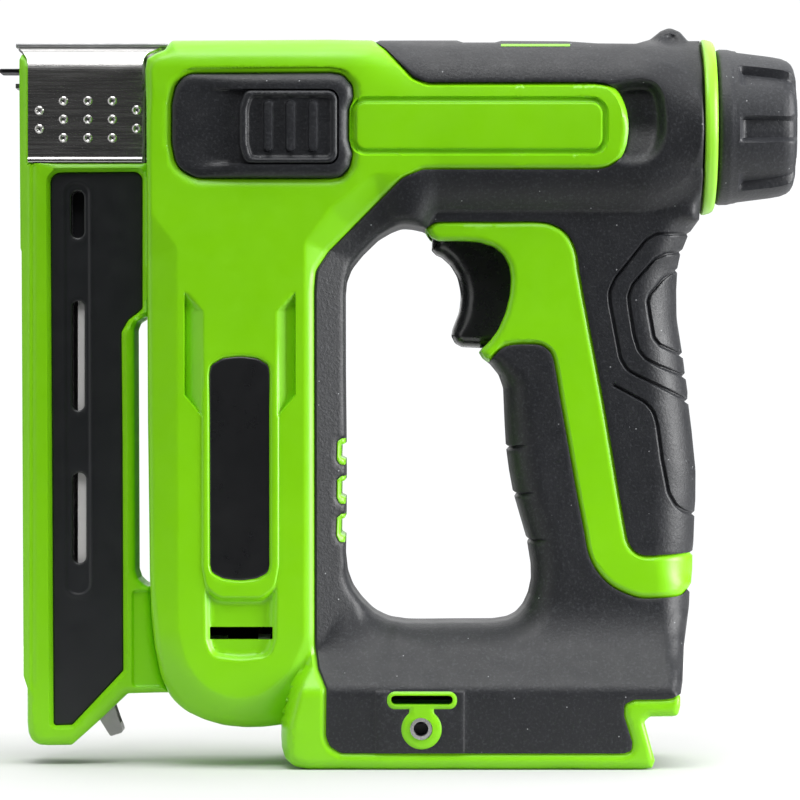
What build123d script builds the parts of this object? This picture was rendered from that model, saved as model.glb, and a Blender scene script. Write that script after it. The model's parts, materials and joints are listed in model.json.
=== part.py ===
from build123d import *
import math
import os

os.makedirs("parts", exist_ok=True)

# ---------------------------------------------------------------- driving dimensions (mm)
PX = 0.28            # millimetres per outline unit at the middle plane
VIEW = 1300.0        # distance from which the outlines were taken
X_OFF, Z_OFF = 0.8, 101.0

H_UP = 25.0          # half width of the motor housing and barrel
H_GRIP = 17.5        # half width of the grip
H_BASE = 32.0        # half width of the base
H_MAG = 13.0         # half width of the magazine
SKIN = 1.6           # soft overmould thickness
IN_UP, IN_GRIP, IN_BASE = 21.0, 13.5, 28.0

AX_Z = 177.3         # spring and knob axis
MOT_X = -41.0        # motor and gearbox axis
BLADE_Z = 188.6      # middle of the driver blade
STROKE = 18.0        # hammer stroke
MOD_P = 0.6          # planet stage module
N_SUN, N_PLANET, N_RING = 12, 15, 42
MOD_S, N_SECTOR = 1.0, 22


def at(u, v, y=0.0):
    k = PX * (VIEW + y) / VIEW
    return ((u - 400.0) * k + X_OFF, (400.0 - v) * k + Z_OFF)


def outline(pts, y=0.0):
    """face in the XZ plane from (u, v, corner radius mm)"""
    c = [at(p[0], p[1], y) for p in pts]
    c = [(x, 0.0 if abs(z) < 0.05 else z) for x, z in c]
    r = [p[2] if len(p) > 2 else 0.0 for p in pts]
    return corner_face(c, r)


def corner_face(c, r):
    n = len(c)
    segs = []
    for i in range(n):
        a, b, d = c[i - 1], c[i], c[(i + 1) % n]
        if r[i] <= 0:
            segs.append((b, None, b))
            continue
        v1 = (a[0] - b[0], a[1] - b[1])
        v2 = (d[0] - b[0], d[1] - b[1])
        l1, l2 = math.hypot(*v1), math.hypot(*v2)
        v1 = (v1[0] / l1, v1[1] / l1)
        v2 = (v2[0] / l2, v2[1] / l2)
        ang = math.acos(max(-1, min(1, v1[0] * v2[0] + v1[1] * v2[1])))
        if ang > math.radians(176):
            segs.append((b, None, b))
            continue
        t = min(r[i] / math.tan(ang / 2), 0.48 * l1, 0.48 * l2)
        rad = t * math.tan(ang / 2)
        p1 = (b[0] + v1[0] * t, b[1] + v1[1] * t)
        p2 = (b[0] + v2[0] * t, b[1] + v2[1] * t)
        bis = (v1[0] + v2[0], v1[1] + v2[1])
        bl = math.hypot(*bis)
        m = rad / math.sin(ang / 2) - rad
        pm = (b[0] + bis[0] / bl * m, b[1] + bis[1] / bl * m)
        segs.append((p1, pm, p2))
    edges = []
    w = lambda p: (p[0], 0.0, p[1])
    for i in range(n):
        s, nx = segs[i], segs[(i + 1) % n]
        if s[1] is not None:
            edges.append(ThreePointArc(w(s[0]), w(s[1]), w(s[2])))
        if math.hypot(s[2][0] - nx[0][0], s[2][1] - nx[0][1]) > 1e-5:
            edges.append(Line(w(s[2]), w(nx[0])))
    return make_face(edges)


def prism(face, y0, y1):
    f = face.moved(Location((0, y0, 0)))
    return extrude(f, amount=abs(y1 - y0), dir=(0, 1 if y1 > y0 else -1, 0))


def slab(x0, x1, y0, y1, z0, z1):
    return Pos((x0 + x1) / 2, (y0 + y1) / 2, (z0 + z1) / 2) * Box(x1 - x0, y1 - y0, z1 - z0)


def rod_y(x, z, r, y0, y1):
    return Pos(x, (y0 + y1) / 2, z) * Rot(90, 0, 0) * Cylinder(r, abs(y1 - y0))


def rod_x(y, z, r, x0, x1):
    return Pos((x0 + x1) / 2, y, z) * Rot(0, 90, 0) * Cylinder(r, abs(x1 - x0))


def rod_z(x, y, r, z0, z1):
    return Pos(x, y, (z0 + z1) / 2) * Cylinder(r, abs(z1 - z0))


def round_side(part, y, r):
    """round the edges that lie in the plane at y"""
    es = part.edges().filter_by(lambda e: abs(e.center().Y - y) < 1e-4 and abs((e @ 0).Y - y) < 1e-4)
    for k in (1.0, 0.8, 0.6, 0.45, 0.3):
        try:
            out = fillet(es, r * k)
            if out.is_valid and out.volume > 0:
                return out
        except Exception:
            continue
    return part


def save(shape, name):
    if isinstance(shape, (list, ShapeList)):
        shape = Compound(children=list(shape))
    export_step(shape, "parts/%s.step" % name)


def flip(part):
    return mirror(part, about=Plane.XZ)


# ---------------------------------------------------------------- outer form
FRONT = [(147, 60, 2.5), (172, 41, 2.5), (400, 41), (400, 222), (378, 236.5, 4), (354, 262, 4),
         (344.5, 283, 4), (344.5, 640), (335, 690), (300, 718, 6), (246, 728, 14), (196, 717, 14), (162, 688, 12),
         (151, 620, 20), (149, 400), (147, 300)]
GRIP = [(423, 226), (432, 240.5), (470, 240.5, 6), (511, 262, 8), (506, 318, 10), (483, 350), (488, 357), (504, 380, 8),
        (508, 450, 20), (532, 556, 12), (530, 600, 12), (505, 622, 10), (395, 622.5, 14), (352, 590, 12), (344.5, 550),
        (335, 550), (322, 700), (683, 700), (684, 645), (692, 556, 30), (696, 480, 30), (676.5, 310, 30), (680, 250, 20),
        (699, 219.7), (699, 200), (423, 200)]
BASE = [(318, 652, 4), (684, 652, 2), (682, 700, 2), (680.5, 715.5, 2), (648, 716.5, 2), (645, 724, 2), (655, 762, 2),
        (650, 769.23, 2), (292, 769.23, 4), (281, 755, 3), (281.5, 724), (300, 690, 4)]
HUMP = [(628, 70), (634, 43.6, 2), (649, 40.3, 2), (661, 31, 3), (671, 28.2, 3), (679, 31.5, 3), (688, 41.6, 1), (694, 70)]
BASE_Y = -30.0


def rounded_bar(x0, x1, hw, z0, z1, r):
    sk = RectangleRounded(2 * hw, z1 - z0, r)
    sec = Plane(origin=(x0, 0, (z0 + z1) / 2), x_dir=(0, 1, 0), z_dir=(1, 0, 0)) * sk
    return extrude(sec, amount=x1 - x0)


XR = at(700, 41)[0]
BZ0, BZ1 = at(0, 222)[1], at(0, 41)[1]


def round_some(part, y, r, sel):
    es = [e for e in part.edges() if abs(e.center().Y - y) < 1e-4 and abs((e @ 0).Y - y) < 1e-4 and sel(e)]
    return fillet(es, r)


def grip_back(e):
    return e.center().X > at(672, 0)[0] and at(0, 640)[1] < e.center().Z < at(0, 225)[1]


def grip_front(e):
    return at(346, 0)[0] < e.center().X < at(545, 0)[0] and at(0, 626)[1] < e.center().Z < at(0, 352)[1]


front_half = round_side(prism(outline(FRONT), 0, -H_UP), -H_UP, 5.0)
barrel_half = rounded_bar(at(360, 0)[0], XR, H_UP, BZ0, BZ1, 14) & slab(-200, 200, -60, 0, 0, 300)
grip_half = round_some(prism(outline(GRIP), 0, -H_GRIP), -H_GRIP, 6.0, grip_back)
grip_half = round_some(grip_half, -H_GRIP, 4.0, grip_front)
base_half = round_side(prism(outline(BASE, BASE_Y), 0, -H_BASE), -H_BASE, 3.5)
hump_half = round_side(prism(outline(HUMP), 0, -10.0), -10.0, 2.5)
FULL = front_half + barrel_half + grip_half + base_half + hump_half


def drawn_in(pts, y=0.0):
    return offset(outline(pts, y), -SKIN, kind=Kind.INTERSECTION)


# the hard core under the soft overmould
cores = [round_side(prism(drawn_in(FRONT), 1, -(H_UP - SKIN)), -(H_UP - SKIN), 5.0 - SKIN),
         rounded_bar(at(360, 0)[0] - 3, XR + 1, H_UP - SKIN, BZ0 + SKIN, BZ1 - SKIN, 14 - SKIN),
         prism(drawn_in(GRIP), 1, -(H_GRIP - SKIN)),
         prism(drawn_in(BASE, BASE_Y), 1, -(H_BASE - SKIN))]

# green areas of the side view: the front with its arm and base rim, and the grip stripe with trigger surround
G_FRONT = [(60, 0), (378, 0), (378, 44), (416, 78, 3), (428, 82, 3), (606, 82, 4), (627, 90, 4), (627, 160, 4),
           (604, 169.5, 4), (420, 169.5, 4), (400, 180, 5), (326, 254, 6), (315, 282, 6), (315.5, 656, 8),
           (326, 688, 3), (326, 738, 3), (341, 753.5, 3), (626, 753.5, 1.5), (632, 746, 1.5), (624, 718, 1.5),
           (624, 706, 1.5), (634, 699.5, 1.5), (720, 698), (720, 830), (60, 830)]
G_STRIPE = [(405, 222), (542, 221.5, 5), (565, 231, 6), (579, 265, 8), (605, 409), (627.7, 540, 5), (644, 555, 4),
            (720, 553), (720, 592), (681, 595, 3), (641, 598.5, 6), (610, 587, 10), (590, 560, 10), (576, 490),
            (553, 358, 4), (541, 345.5, 4), (512, 345, 5), (495, 356, 2), (488, 361), (465, 361), (465, 300),
            (405, 300)]
SIDE_Y = -20.0
green_zone = prism(outline(G_FRONT, SIDE_Y), 5, -60) + prism(outline(G_STRIPE, SIDE_Y), 5, -60)

# cavities
C_UP = [(157, 62), (400, 62), (400, 208), (372, 212), (333, 262), (333, 640), (300, 690), (270, 708), (240, 712),
        (210, 706), (182, 688), (165, 640), (158, 560)]
C_GRIP = [(450, 204), (684, 204), (672, 262), (667, 320), (684, 470), (682, 540), (676, 650), (560, 650), (546, 600),
          (543, 565), (527, 500), (519, 440), (515, 392), (504, 366), (520, 300), (522, 270), (506, 247), (450, 234)]
cavity = prism(outline(C_UP), 1, -IN_UP) + prism(outline(C_GRIP), 1, -IN_GRIP)
cavity += rounded_bar(at(390, 0)[0], at(690, 0)[0], 20.4, at(0, 209)[1], at(0, 62)[1], 13)
cavity += slab(-30, 73, -IN_BASE, 1, 14.5, 27.0)
pocket = slab(-24, 120, -25, 1, 3, 10) + slab(-24, 120, -21, 1, -5, 4)

# trigger mouth, case vents, thumb slide slot, terminal opening
mouth = slab(at(426, 0)[0], at(558, 0)[0], -8.9, 1, at(0, 349.5)[1], at(0, 238.6)[1])
vents = slab(at(211, 0)[0], at(272, 0)[0], -40, -15, at(0, 639)[1], at(0, 627)[1])
for v0, v1 in ((442, 458), (479, 496), (517, 535)):
    vents += slab(at(328, 0)[0], at(350, 0)[0], -14, 1, at(0, v1)[1], at(0, v0)[1])
slide_slot = slab(-42, -25.6, -40, -15, 173.4, 181.2)
term_hole = slab(-16.5, -1.5, -16.5, 1, 5, 16)
window_hole = slab(29.5, 48.5, -4.6, 1, 195, 215)
rear_bore = rod_x(0, AX_Z, 12.5, 75, 95) & slab(60, 100, -30, 1, 100, 220)

# pockets on the side faces
PAD = [(171.5, 73, 5), (330, 73, 1), (350, 76, 4), (354, 96, 4), (348.5, 112, 3), (348.5, 140, 3), (352.5, 158, 3),
       (345, 176, 3), (330, 178.5, 1), (171.5, 178.5, 6)]
pad_face = outline(PAD, -H_UP)
pad_pocket = prism(pad_face, -H_UP + 1.6, -H_UP - 5)
LABEL = [(208.5, 355.7, 1.5), (269.5, 355.7, 1.5), (269.5, 581.5, 1.5), (208.5, 581.5, 1.5)]
label_face = outline(LABEL, -H_UP)
label_pocket = prism(label_face, -H_UP + 0.8, -H_UP - 5)

hx, hz = at(421, 729, -H_BASE)
hook_hole = rod_y(hx, hz, 3.0, -H_BASE - 1, -H_BASE + 5.6)
hook_slot = slab(at(391, 0, -H_BASE)[0], at(451.5, 0, -H_BASE)[0], -H_BASE - 1, -H_BASE + 2.5,
                 at(0, 703, -H_BASE)[1], at(0, 696, -H_BASE)[1])

# screw posts: (u, v, outer half width, inner end)
POSTS = [(164, 262, H_UP), (328, 243, H_UP), (246, 715, H_UP), (655, 200, H_UP), (640, 500, H_GRIP), (640, 234, H_GRIP),
         (655, 672, H_BASE), (335, 668, H_BASE)]

posts = None
for u, v, h in POSTS:
    x, z = at(u, v)
    p = rod_y(x, z, 5.0, 0, -(h - 2.5))
    posts = p if posts is None else posts + p

# motor and gearbox cradles
ribs = None
for z, r in ((60, 18.1), (94, 18.1), (124, 18.8)):
    p = slab(-68, -17, -22, 0, z - 1.2, z + 1.2) - rod_z(MOT_X, 0, r, z - 3, z + 3)
    ribs = p if ribs is None else ribs + p
rib_rear = slab(76.5, 77.9, -20, 0, 158, 194) - rod_x(0, AX_Z, 14, 70, 90)
rib_rear2 = slab(82.1, 83.5, -20, 0, 158, 194) - rod_x(0, AX_Z, 14, 70, 90)

shell = FULL - cavity
shell = shell + ((posts + ribs + rib_rear + rib_rear2) & FULL)
blade_hole = slab(-80, -60, -6.4, 1, 186, 191)
shell = shell - blade_hole - pocket - mouth - vents - slide_slot - term_hole - window_hole - rear_bore
skin_zone = FULL - green_zone
for c in cores:
    skin_zone = skin_zone - c
skin_cut = skin_zone - vents - mouth - window_hole - pocket
green = shell - skin_zone - pad_pocket - label_pocket - hook_hole - hook_slot
over = skin_cut - cavity - hook_hole - hook_slot

pilots = None
for u, v, h in POSTS:
    x, z = at(u, v)
    p = rod_y(x, z, 1.6, 1, -(h - 6))
    pilots = p if pilots is None else pilots + p
left = green - pilots


def biggest(part, floor=20.0):
    return [s for s in part.solids() if s.volume > floor]


clear = None
for u, v, h in POSTS:
    x, z = at(u, v)
    p = rod_y(x, z, 1.8, -1, h - 4) + rod_y(x, z, 3.5, h - 7, h + 5)
    clear = p if clear is None else clear + p
right = flip(green) - clear
right_over = flip(over) - clear


save(max(left.solids(), key=lambda s: s.volume), "left_housing")
save(max(right.solids(), key=lambda s: s.volume), "right_housing")
save(biggest(over), "left_overmould")
save(biggest(right_over), "right_overmould")

screws = []
for u, v, h in POSTS:
    x, z = at(u, v)
    s = rod_y(x, z, 1.5, h - 7, -(h - 8)) + rod_y(x, z, 3.2, h - 7, h - 4.4)
    s = s - (Pos(x, h - 4.4, z) * Rot(90, 0, 0) * extrude(RegularPolygon(1.3, 6), amount=1.4, both=True))
    screws.append(s)
save(screws, "housing_screws")

# ---------------------------------------------------------------- magazine
MAG = [(20, 57, 1), (31, 57, .8), (31, 164.5), (150, 164.5), (150, 315), (143, 318, 1), (135, 326, 2.5), (135, 575, 2.5),
       (146, 587, 2), (180, 587), (180, 692.5), (130, 692.5, 2), (73, 744.5, 2), (40, 745, 3), (28, 735, 3),
       (27.5, 688, .5), (23.5, 676, .5)]
PANEL = [(51, 172, 2.5), (142.5, 172, 2), (142.5, 309, 1.5), (122, 331, 2), (123.5, 671, 2), (72, 724, 1), (53.5, 726, 1)]
SIGHTS = [(71.2, 84.2, 191, 238), (72.3, 84.6, 301, 410.6), (72.7, 86.3, 472.7, 563)]


def sight(u0, u1, v0, v1):
    r = (u1 - u0) / 2 * PX * .98
    return outline([(u0, v0, r), (u1, v0, r), (u1, v1, r), (u0, v1, r)], -H_MAG)


mag = round_side(prism(outline(MAG), 0, -H_MAG), -H_MAG, 1.2) - FULL
panel_face = outline(PANEL, -H_MAG)
mag = mag - prism(panel_face, -H_MAG + 2.4, -H_MAG - 2)
mag = mag - slab(-101.2, -79.2, -7.3, 1, 14, 170) - slab(-101.2, -75.4, -7.3, 1, -5, 30)
mag = mag - slab(-108, -101, -6.5, 1, 186.3, 195.2)
panel = prism(panel_face, -H_MAG + 2.4, -H_MAG + 0.4)
sights = None
for s in SIGHTS:
    q = prism(sight(*s), -5.95, -H_MAG - 2)
    sights = q if sights is None else sights + q
mag = mag - sights
panel = panel - sights
mag = max(mag.solids(), key=lambda s: s.volume)
save(mag, "magazine_left_cover")
save(flip(mag), "magazine_right_cover")
save(panel, "magazine_left_panel")
save(flip(panel), "magazine_right_panel")

channel = slab(-101, -79.4, -7, 7, 24, 166.4) - slab(-100.2, -70, -6.2, 6.2, 0, 200)
channel = channel - sights - flip(sights)
save(channel, "magazine_channel")

LX, LZ = -84.0, 18.5
rail = slab(-88.9, -80, -4.2, 4.2, 16, 183) - slab(-90, -81, -3.2, 3.2, 21, 300)
rail = rail + rod_y(LX, LZ, 1.2, -5.7, 5.7)
save(rail, "magazine_rail")
pusher = slab(-99.8, -80.4, -5.9, 5.9, 143, 184) - slab(-89.2, -70, -4.5, 4.5, 0, 300)
pusher = pusher + slab(-89.3, -81.4, -2.8, 2.8, 143, 150)
pusher = pusher - slab(-101, -93, -1.5, 1.5, 150, 200)
save(pusher, "pusher")


def coil(p0, axis, length, r, wire, turns):
    h = Helix(pitch=length / turns, height=length, radius=r, center=p0, direction=axis)
    return sweep(Plane(origin=h @ 0, z_dir=h % 0) * Circle(wire), path=h, is_frenet=True)


save(coil((-84.6, 0, 21.6), (0, 0, 1), 120.6, 2.2, 0.4, 26), "pusher_spring")
LATCH = [(90, 688, 1.5), (104, 688, 1.5), (114, 701, 1), (124.5, 731, .8), (111.5, 735, .8), (101, 718, 1), (90, 702, 1.5)]
LWEB = [(106, 724), (111.5, 735, .8), (124.5, 731, .8), (121.6, 722)]
latch = prism(outline(LATCH), 4.5, 5.3) + prism(outline(LATCH), -4.5, -5.3) + prism(outline(LWEB), -5.3, 5.3)
latch = latch - rod_y(LX, LZ, 1.26, -6, 6)
save(latch, "tail_latch")

# ---------------------------------------------------------------- nose
nose = slab(-102.2, -71.2, -11.4, 11.4, 167.2, 198.6)
nose = nose - slab(-100.3, -79.2, -6.3, 6.3, 160, 187.95)
nose = nose - slab(-110, -60, -5.6, 5.6, 187.8, 189.5) - slab(-110, -72.1, -5.6, 5.6, 191.4, 194.2)
save(nose, "nose_block")
guard = slab(-102.2, -70.3, -12.4, 12.4, 167.6, 200.0) - slab(-110, -60, -11.6, 11.6, 160, 199.2)
guard = guard + slab(-106.2, -66.6, -12.4, 12.4, 199.2, 200.0)
es = [e for e in guard.edges() if abs(abs(e.center().Y) - 12.4) < 1e-4 and abs(e.center().Z - 200.0) < 1e-4]
guard = fillet(es, 0.7)
guard = guard + slab(-102.2, -70.3, 11.6, 12.9, 167.6, 168.8) + slab(-102.2, -70.3, -12.9, -11.6, 167.6, 168.8)
DOTS = [(u, v) for u in (63.6, 88, 112.4) for v in (101, 119.5, 138)] + [(39.4, 110.6), (39.4, 129), (136.6, 110.2), (136.6, 128.6)]
for u, v in DOTS:
    x, z = at(u, v, -12.4)
    for s in (-1, 1):
        dome = Pos(x, s * 11.28, z) * Sphere(1.57)
        guard = guard + (dome & slab(-200, 200, min(s * 12.1, s * 14), max(s * 12.1, s * 14), 0, 300))
save(guard, "nose_guard")
foot = slab(-111, -79, -5, 5, 191.8, 193.8)
foot = fillet(foot.edges().filter_by(Axis.Y).group_by(Axis.X)[0], 0.6)
save(foot, "contact_foot")
save(coil((-78.8, 0, 192.8), (1, 0, 0), 6.4, 0.95, 0.22, 5), "contact_spring")

# ---------------------------------------------------------------- motor and gearbox
can = rod_z(MOT_X, 0, 17.9, 45.5, 102.8) - rod_z(MOT_X, 0, 16.7, 40, 101.2)
can = can + rod_z(MOT_X, 0, 6.5, 102.8, 105.5) - rod_z(MOT_X, 0, 1.75, 90, 110)
save(can, "motor_can")
cap = rod_z(MOT_X, 0, 16.6, 45.5, 49.0) + rod_z(MOT_X, 0, 9.0, 41.0, 45.5) - rod_z(MOT_X, 0, 1.75, 30, 60)
save(cap, "motor_endcap")
ring_mag = rod_z(MOT_X, 0, 16.6, 55, 92) - rod_z(MOT_X, 0, 13.2, 50, 100)
mags = [s for s in (ring_mag - slab(MOT_X - 7, MOT_X + 7, -30, 30, 50, 100)).solids()]
save(mags, "motor_magnets")
arm = rod_z(MOT_X, 0, 12.5, 58, 90) + rod_z(MOT_X, 0, 10.3, 53.5, 94.5) + rod_z(MOT_X, 0, 4.5, 49.6, 53.5)
for k in range(5):
    a = math.radians(72 * k)
    arm = arm - (Pos(MOT_X + 12.2 * math.cos(a), 12.2 * math.sin(a), 74) * Rot(0, 0, 72 * k) * Box(4, 1.8, 33))
save(arm + rod_z(MOT_X, 0, 1.585, 42, 117.8), "armature")


def gear_points(n, m, add, ded, thin, phase, only=None, blank=None):
    """tooth outline of a spur gear; thin is taken off (or added to) the tooth at the pitch circle"""
    r = n * m / 2
    rb = r * math.cos(math.radians(20))
    inv = lambda x: math.tan(x) - x
    half = math.pi / (2 * n) - thin / (2 * r)
    inv0 = inv(math.radians(20))
    ra, rf = r + add, r - ded
    pts = []
    for i in range(n):
        c = phase + 2 * math.pi * i / n
        if only is not None and i not in only:
            for k in range(4):
                q = c + 2 * math.pi / n * (k / 4 - .5 + .125)
                pts.append((blank * math.cos(q), blank * math.sin(q)))
            continue
        flank = []
        for k in range(7):
            rr = max(rb, rf) + (ra - max(rb, rf)) * k / 6
            flank.append((rr, half + inv0 - inv(math.acos(min(1, rb / rr)))))
        if rf < rb:
            flank.insert(0, (rf, flank[0][1]))
        for rr, a in flank:
            pts.append((rr * math.cos(c - a), rr * math.sin(c - a)))
        for rr, a in reversed(flank):
            pts.append((rr * math.cos(c + a), rr * math.sin(c + a)))
    return pts


def gear_solid(pts, x, y, z0, z1):
    f = make_face(Polyline(*[(x + p[0], y + p[1], z0) for p in pts], close=True))
    return extrude(f, amount=z1 - z0, dir=(0, 0, 1))


ADD, DED, THIN = 0.8 * MOD_P, 1.0 * MOD_P, 0.14
R_S, R_P, R_R = N_SUN * MOD_P / 2, N_PLANET * MOD_P / 2, N_RING * MOD_P / 2
sun_phase = math.radians(90)
sun = gear_solid(gear_points(N_SUN, MOD_P, ADD, DED, THIN, sun_phase), MOT_X, 0, 109.4, 117.6) - rod_z(MOT_X, 0, 1.6, 100, 120)
save(sun, "sun_gear")
ring_phase = None
for k, name in enumerate("abc"):
    phi = math.radians(90 + 120 * k)
    # nearest sun tooth to the line of centres gives the planet's space, and the planet's tooth the ring's space
    step = 2 * math.pi / N_SUN
    off = (sun_phase - phi + step / 2) % step - step / 2
    space = phi + math.pi - off * R_S / R_P
    tooth = space + math.pi / N_PLANET
    pstep = 2 * math.pi / N_PLANET
    poff = (tooth - phi + pstep / 2) % pstep - pstep / 2
    if ring_phase is None:
        ring_phase = phi + poff * R_P / R_R
    px, py = MOT_X + (R_S + R_P) * math.cos(phi), (R_S + R_P) * math.sin(phi)
    g = gear_solid(gear_points(N_PLANET, MOD_P, ADD, DED, THIN, tooth), px, py, 110, 117) - rod_z(px, py, 1.55, 100, 120)
    save(g, "planet_gear_" + name)
ring = rod_z(MOT_X, 0, 16.5, 109, 118) - gear_solid(gear_points(N_RING, MOD_P, DED, ADD, -THIN, ring_phase), MOT_X, 0, 108, 119)
save(ring, "ring_gear")
case = rod_z(MOT_X, 0, 18.5, 103, 137) - rod_z(MOT_X, 0, 16.55, 106, 130) - rod_z(MOT_X, 0, 8.02, 125, 140) - rod_z(MOT_X, 0, 6.6, 100, 110)
save(case, "gearbox_case")
save(rod_z(MOT_X, 0, 8.0, 131, 136.5) - rod_z(MOT_X, 0, 4.05, 120, 140), "output_bearing")
carrier = rod_z(MOT_X, 0, 11, 118.6, 122.6) + rod_z(MOT_X, 0, 4.0, 122.6, 162)
for k in range(3):
    phi = math.radians(90 + 120 * k)
    carrier = carrier + rod_z(MOT_X + (R_S + R_P) * math.cos(phi), (R_S + R_P) * math.sin(phi), 1.5, 109.6, 119)
save(carrier, "planet_carrier")
R_SEC = MOD_S * N_SECTOR / 2
sec_pts = gear_points(N_SECTOR, MOD_S, 0.8 * MOD_S, 1.0 * MOD_S, 0.16, math.radians(90), only=[21, 0, 1, 2, 3, 4, 5, 6, 7], blank=9.6)
sector = gear_solid(sec_pts, MOT_X, 0, 155, 160) - rod_z(MOT_X, 0, 4.02, 150, 165)
save(sector, "sector_gear")

# ---------------------------------------------------------------- hammer, blade, spring
rack = [(-63.0, 16.0), (-63.0, 12.0)]
ht = math.pi * MOD_S / 4 - 0.08
tan20 = math.tan(math.radians(20))
for k in range(-7, 1):
    c = MOT_X + (k + .5) * math.pi * MOD_S
    lo, hi = ht + 1.0 * tan20, ht - 0.8 * tan20
    rack += [(c - lo, 12.0), (c - hi, 10.2), (c + hi, 10.2), (c + lo, 12.0)]
rack += [(-37.6, 12.0), (-37.6, 16.0)]
rack_bar = extrude(make_face(Polyline(*[(p[0], p[1], 154.6) for p in rack], close=True)), amount=5.8, dir=(0, 0, 1))
hammer = slab(-57.5, -14, -10, 10, 167.3, 188.0) - rod_x(0, AX_Z, 4.06, -80, 10)
hammer = hammer - slab(-50, -20, 6.5, 20, 172, 185) - slab(-50, -20, -20, -6.5, 172, 185)
hammer = hammer + slab(-57, -38, 9, 16, 167.3, 171) + slab(-57, -38, 12.6, 16, 160.4, 167.5) + rack_bar
blade = slab(-106.4, -36, -5.2, 5.2, 188.0, 189.2)
bolts = []
for x in (-50, -40.5):
    blade = blade - rod_z(x, 0, 1.6, 180, 200)
    hammer = hammer - rod_z(x, 0, 1.6, 183.2, 190)
    bolts.append(rod_z(x, 0, 1.5, 183.4, 189.2) + rod_z(x, 0, 2.8, 189.2, 190.9))
save(hammer, "hammer")
save(blade, "driver_blade")
save(bolts, "blade_screws")
frame = slab(-66.6, -63.2, -15, 15, 168, 187) - rod_x(0, AX_Z, 4.02, -80, -50)
save(frame, "front_frame")
save(rod_x(0, AX_Z, 4.0, -66.6, 82), "guide_rod")
save(rod_x(0, AX_Z, 9.5, -63.1, -58.2) - rod_x(0, AX_Z, 4.1, -70, -50), "front_bumper")
save(coil((-12.4, 0, AX_Z), (1, 0, 0), 71.4, 8.6, 1.3, 11), "main_spring")

# ---------------------------------------------------------------- power adjuster
nut = rod_x(0, AX_Z, 13, 60.5, 68.5) - rod_x(0, AX_Z, 9.06, 50, 80)
nut = nut + slab(61.5, 67.5, -3, 3, 188, 192.4) - rod_x(0, AX_Z, 9.06, 50, 80)
save(nut, "preload_nut")
flag = slab(36, 67.5, -2.6, 2.6, 193.7, 195.2) + slab(61.5, 67.5, -2.6, 2.6, 192.45, 193.7)
save(flag, "power_indicator")
sleeve = rod_x(0, AX_Z, 9.0, 60.8, 88.6) + rod_x(0, AX_Z, 8.0, 88.6, 97) - rod_x(0, AX_Z, 4.1, 50, 83)
sleeve = sleeve - rod_x(0, AX_Z, 2.0, 80, 100)
save(sleeve, "adjust_sleeve")
plate = rod_x(0, AX_Z, 17.9, 78, 82) - rod_x(0, AX_Z, 9.07, 70, 90)
save(plate, "rear_plate")
rring = rod_x(0, AX_Z, 24.2, 84.8, 88.4) - rod_x(0, AX_Z, 12.5, 80, 92)
es = [e for e in rring.edges().filter_by(GeomType.CIRCLE) if e.radius > 20]
save(fillet(es, 1.0), "rear_ring")
prof = [(88.8, 9.5), (88.8, 21.8), (92.6, 21.8), (93.4, 21.2), (94.4, 21.2), (107.6, 18.8), (111, 15.0), (111, 5.0), (108, 5.0), (108, 2.2),
        (97.0, 2.2), (97.0, 8.02), (90.2, 8.02), (90.2, 9.5)]
face = make_face(Polyline(*[(p[0], 0, AX_Z + p[1]) for p in prof], close=True))
knob = revolve(face, axis=Axis((0, 0, AX_Z), (1, 0, 0)))
knob = knob - (rod_x(0, AX_Z, 16.6, 88, 101.5) - rod_x(0, AX_Z, 11, 80, 110))
for k in range(8):
    cut = Pos(0, 0, 0) * slab(95.2, 115, -3.1, 3.1, 0, 4.0)
    cut = Rot(0, 8.5, 0) * (Pos(-95, 0, 0) * cut)
    cut = Pos(95, 0, 19.7) * cut
    knob = knob - (Pos(0, 0, AX_Z) * Rot(45 * k, 0, 0) * cut)
save(max(knob.solids(), key=lambda s: s.volume), "power_knob")
kscrew = rod_x(0, AX_Z, 1.9, 86, 108.1) + rod_x(0, AX_Z, 3.8, 108.05, 110.5)
kscrew = kscrew - slab(109.3, 112, -0.5, 0.5, AX_Z - 2.6, AX_Z + 2.6) - slab(109.3, 112, -2.6, 2.6, AX_Z - 0.5, AX_Z + 0.5)
save(kscrew, "knob_screw")
save(slab(29.7, 48.3, -4.4, 4.4, 199.0, 201.0), "power_window")

# ---------------------------------------------------------------- trigger and switch
TRIG = [(432.5, 241.5, .6), (433.5, 252, 1), (447, 260.5, 3), (459, 277, 4), (461, 296, 6), (457, 318, 4), (452, 334, 2), (457, 345, 2),
        (478, 348), (530, 348, 1), (530, 241.5, 1)]
trig = round_side(round_side(prism(outline(TRIG), 8.5, -8.5), -8.5, 0.8), 8.5, 0.8)
save(trig, "trigger")
switch = slab(50, 68, -7.5, 7.5, 122, 142) + rod_x(0, 136, 2.2, 44.6, 50)
save(switch, "trigger_switch")
save(coil((37.6, 0, 127), (1, 0, 0), 12.0, 2.6, 0.35, 7), "trigger_spring")

# ---------------------------------------------------------------- jam release
pad = prism(pad_face, -H_UP + 1.6, -H_UP - 0.6) - slide_slot
pad = round_side(pad, -H_UP - 0.6, 0.5)
save(pad, "left_side_pad")
save(flip(pad), "right_side_pad")
YS = -H_UP - 0.9
THUMB = [(240, 88, 4), (345, 88, 5), (345, 164, 5), (240, 164, 4)]
thumb = round_side(prism(outline(THUMB, YS), YS, YS - 2.4), YS - 2.4, 0.8)
RECESS = [(247, 95, 3), (335, 95, 3), (335, 157, 3), (247, 157, 3)]
thumb = thumb - prism(outline(RECESS, YS), YS - 1.2, YS - 5)
for u0, u1 in ((262.8, 273), (285, 295.5), (307.6, 318)):
    thumb = thumb + prism(outline([(u0, 100, 1.2), (u1, 100, 1.2), (u1, 152, 1.2), (u0, 152, 1.2)], YS), YS - 1.1, YS - 2.2)
thumb = thumb + slab(-33.4, -26.2, YS - 0.2, -20.1, 174, 180.6)
save(thumb, "release_slide_left")
save(flip(thumb), "release_slide_right")
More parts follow.
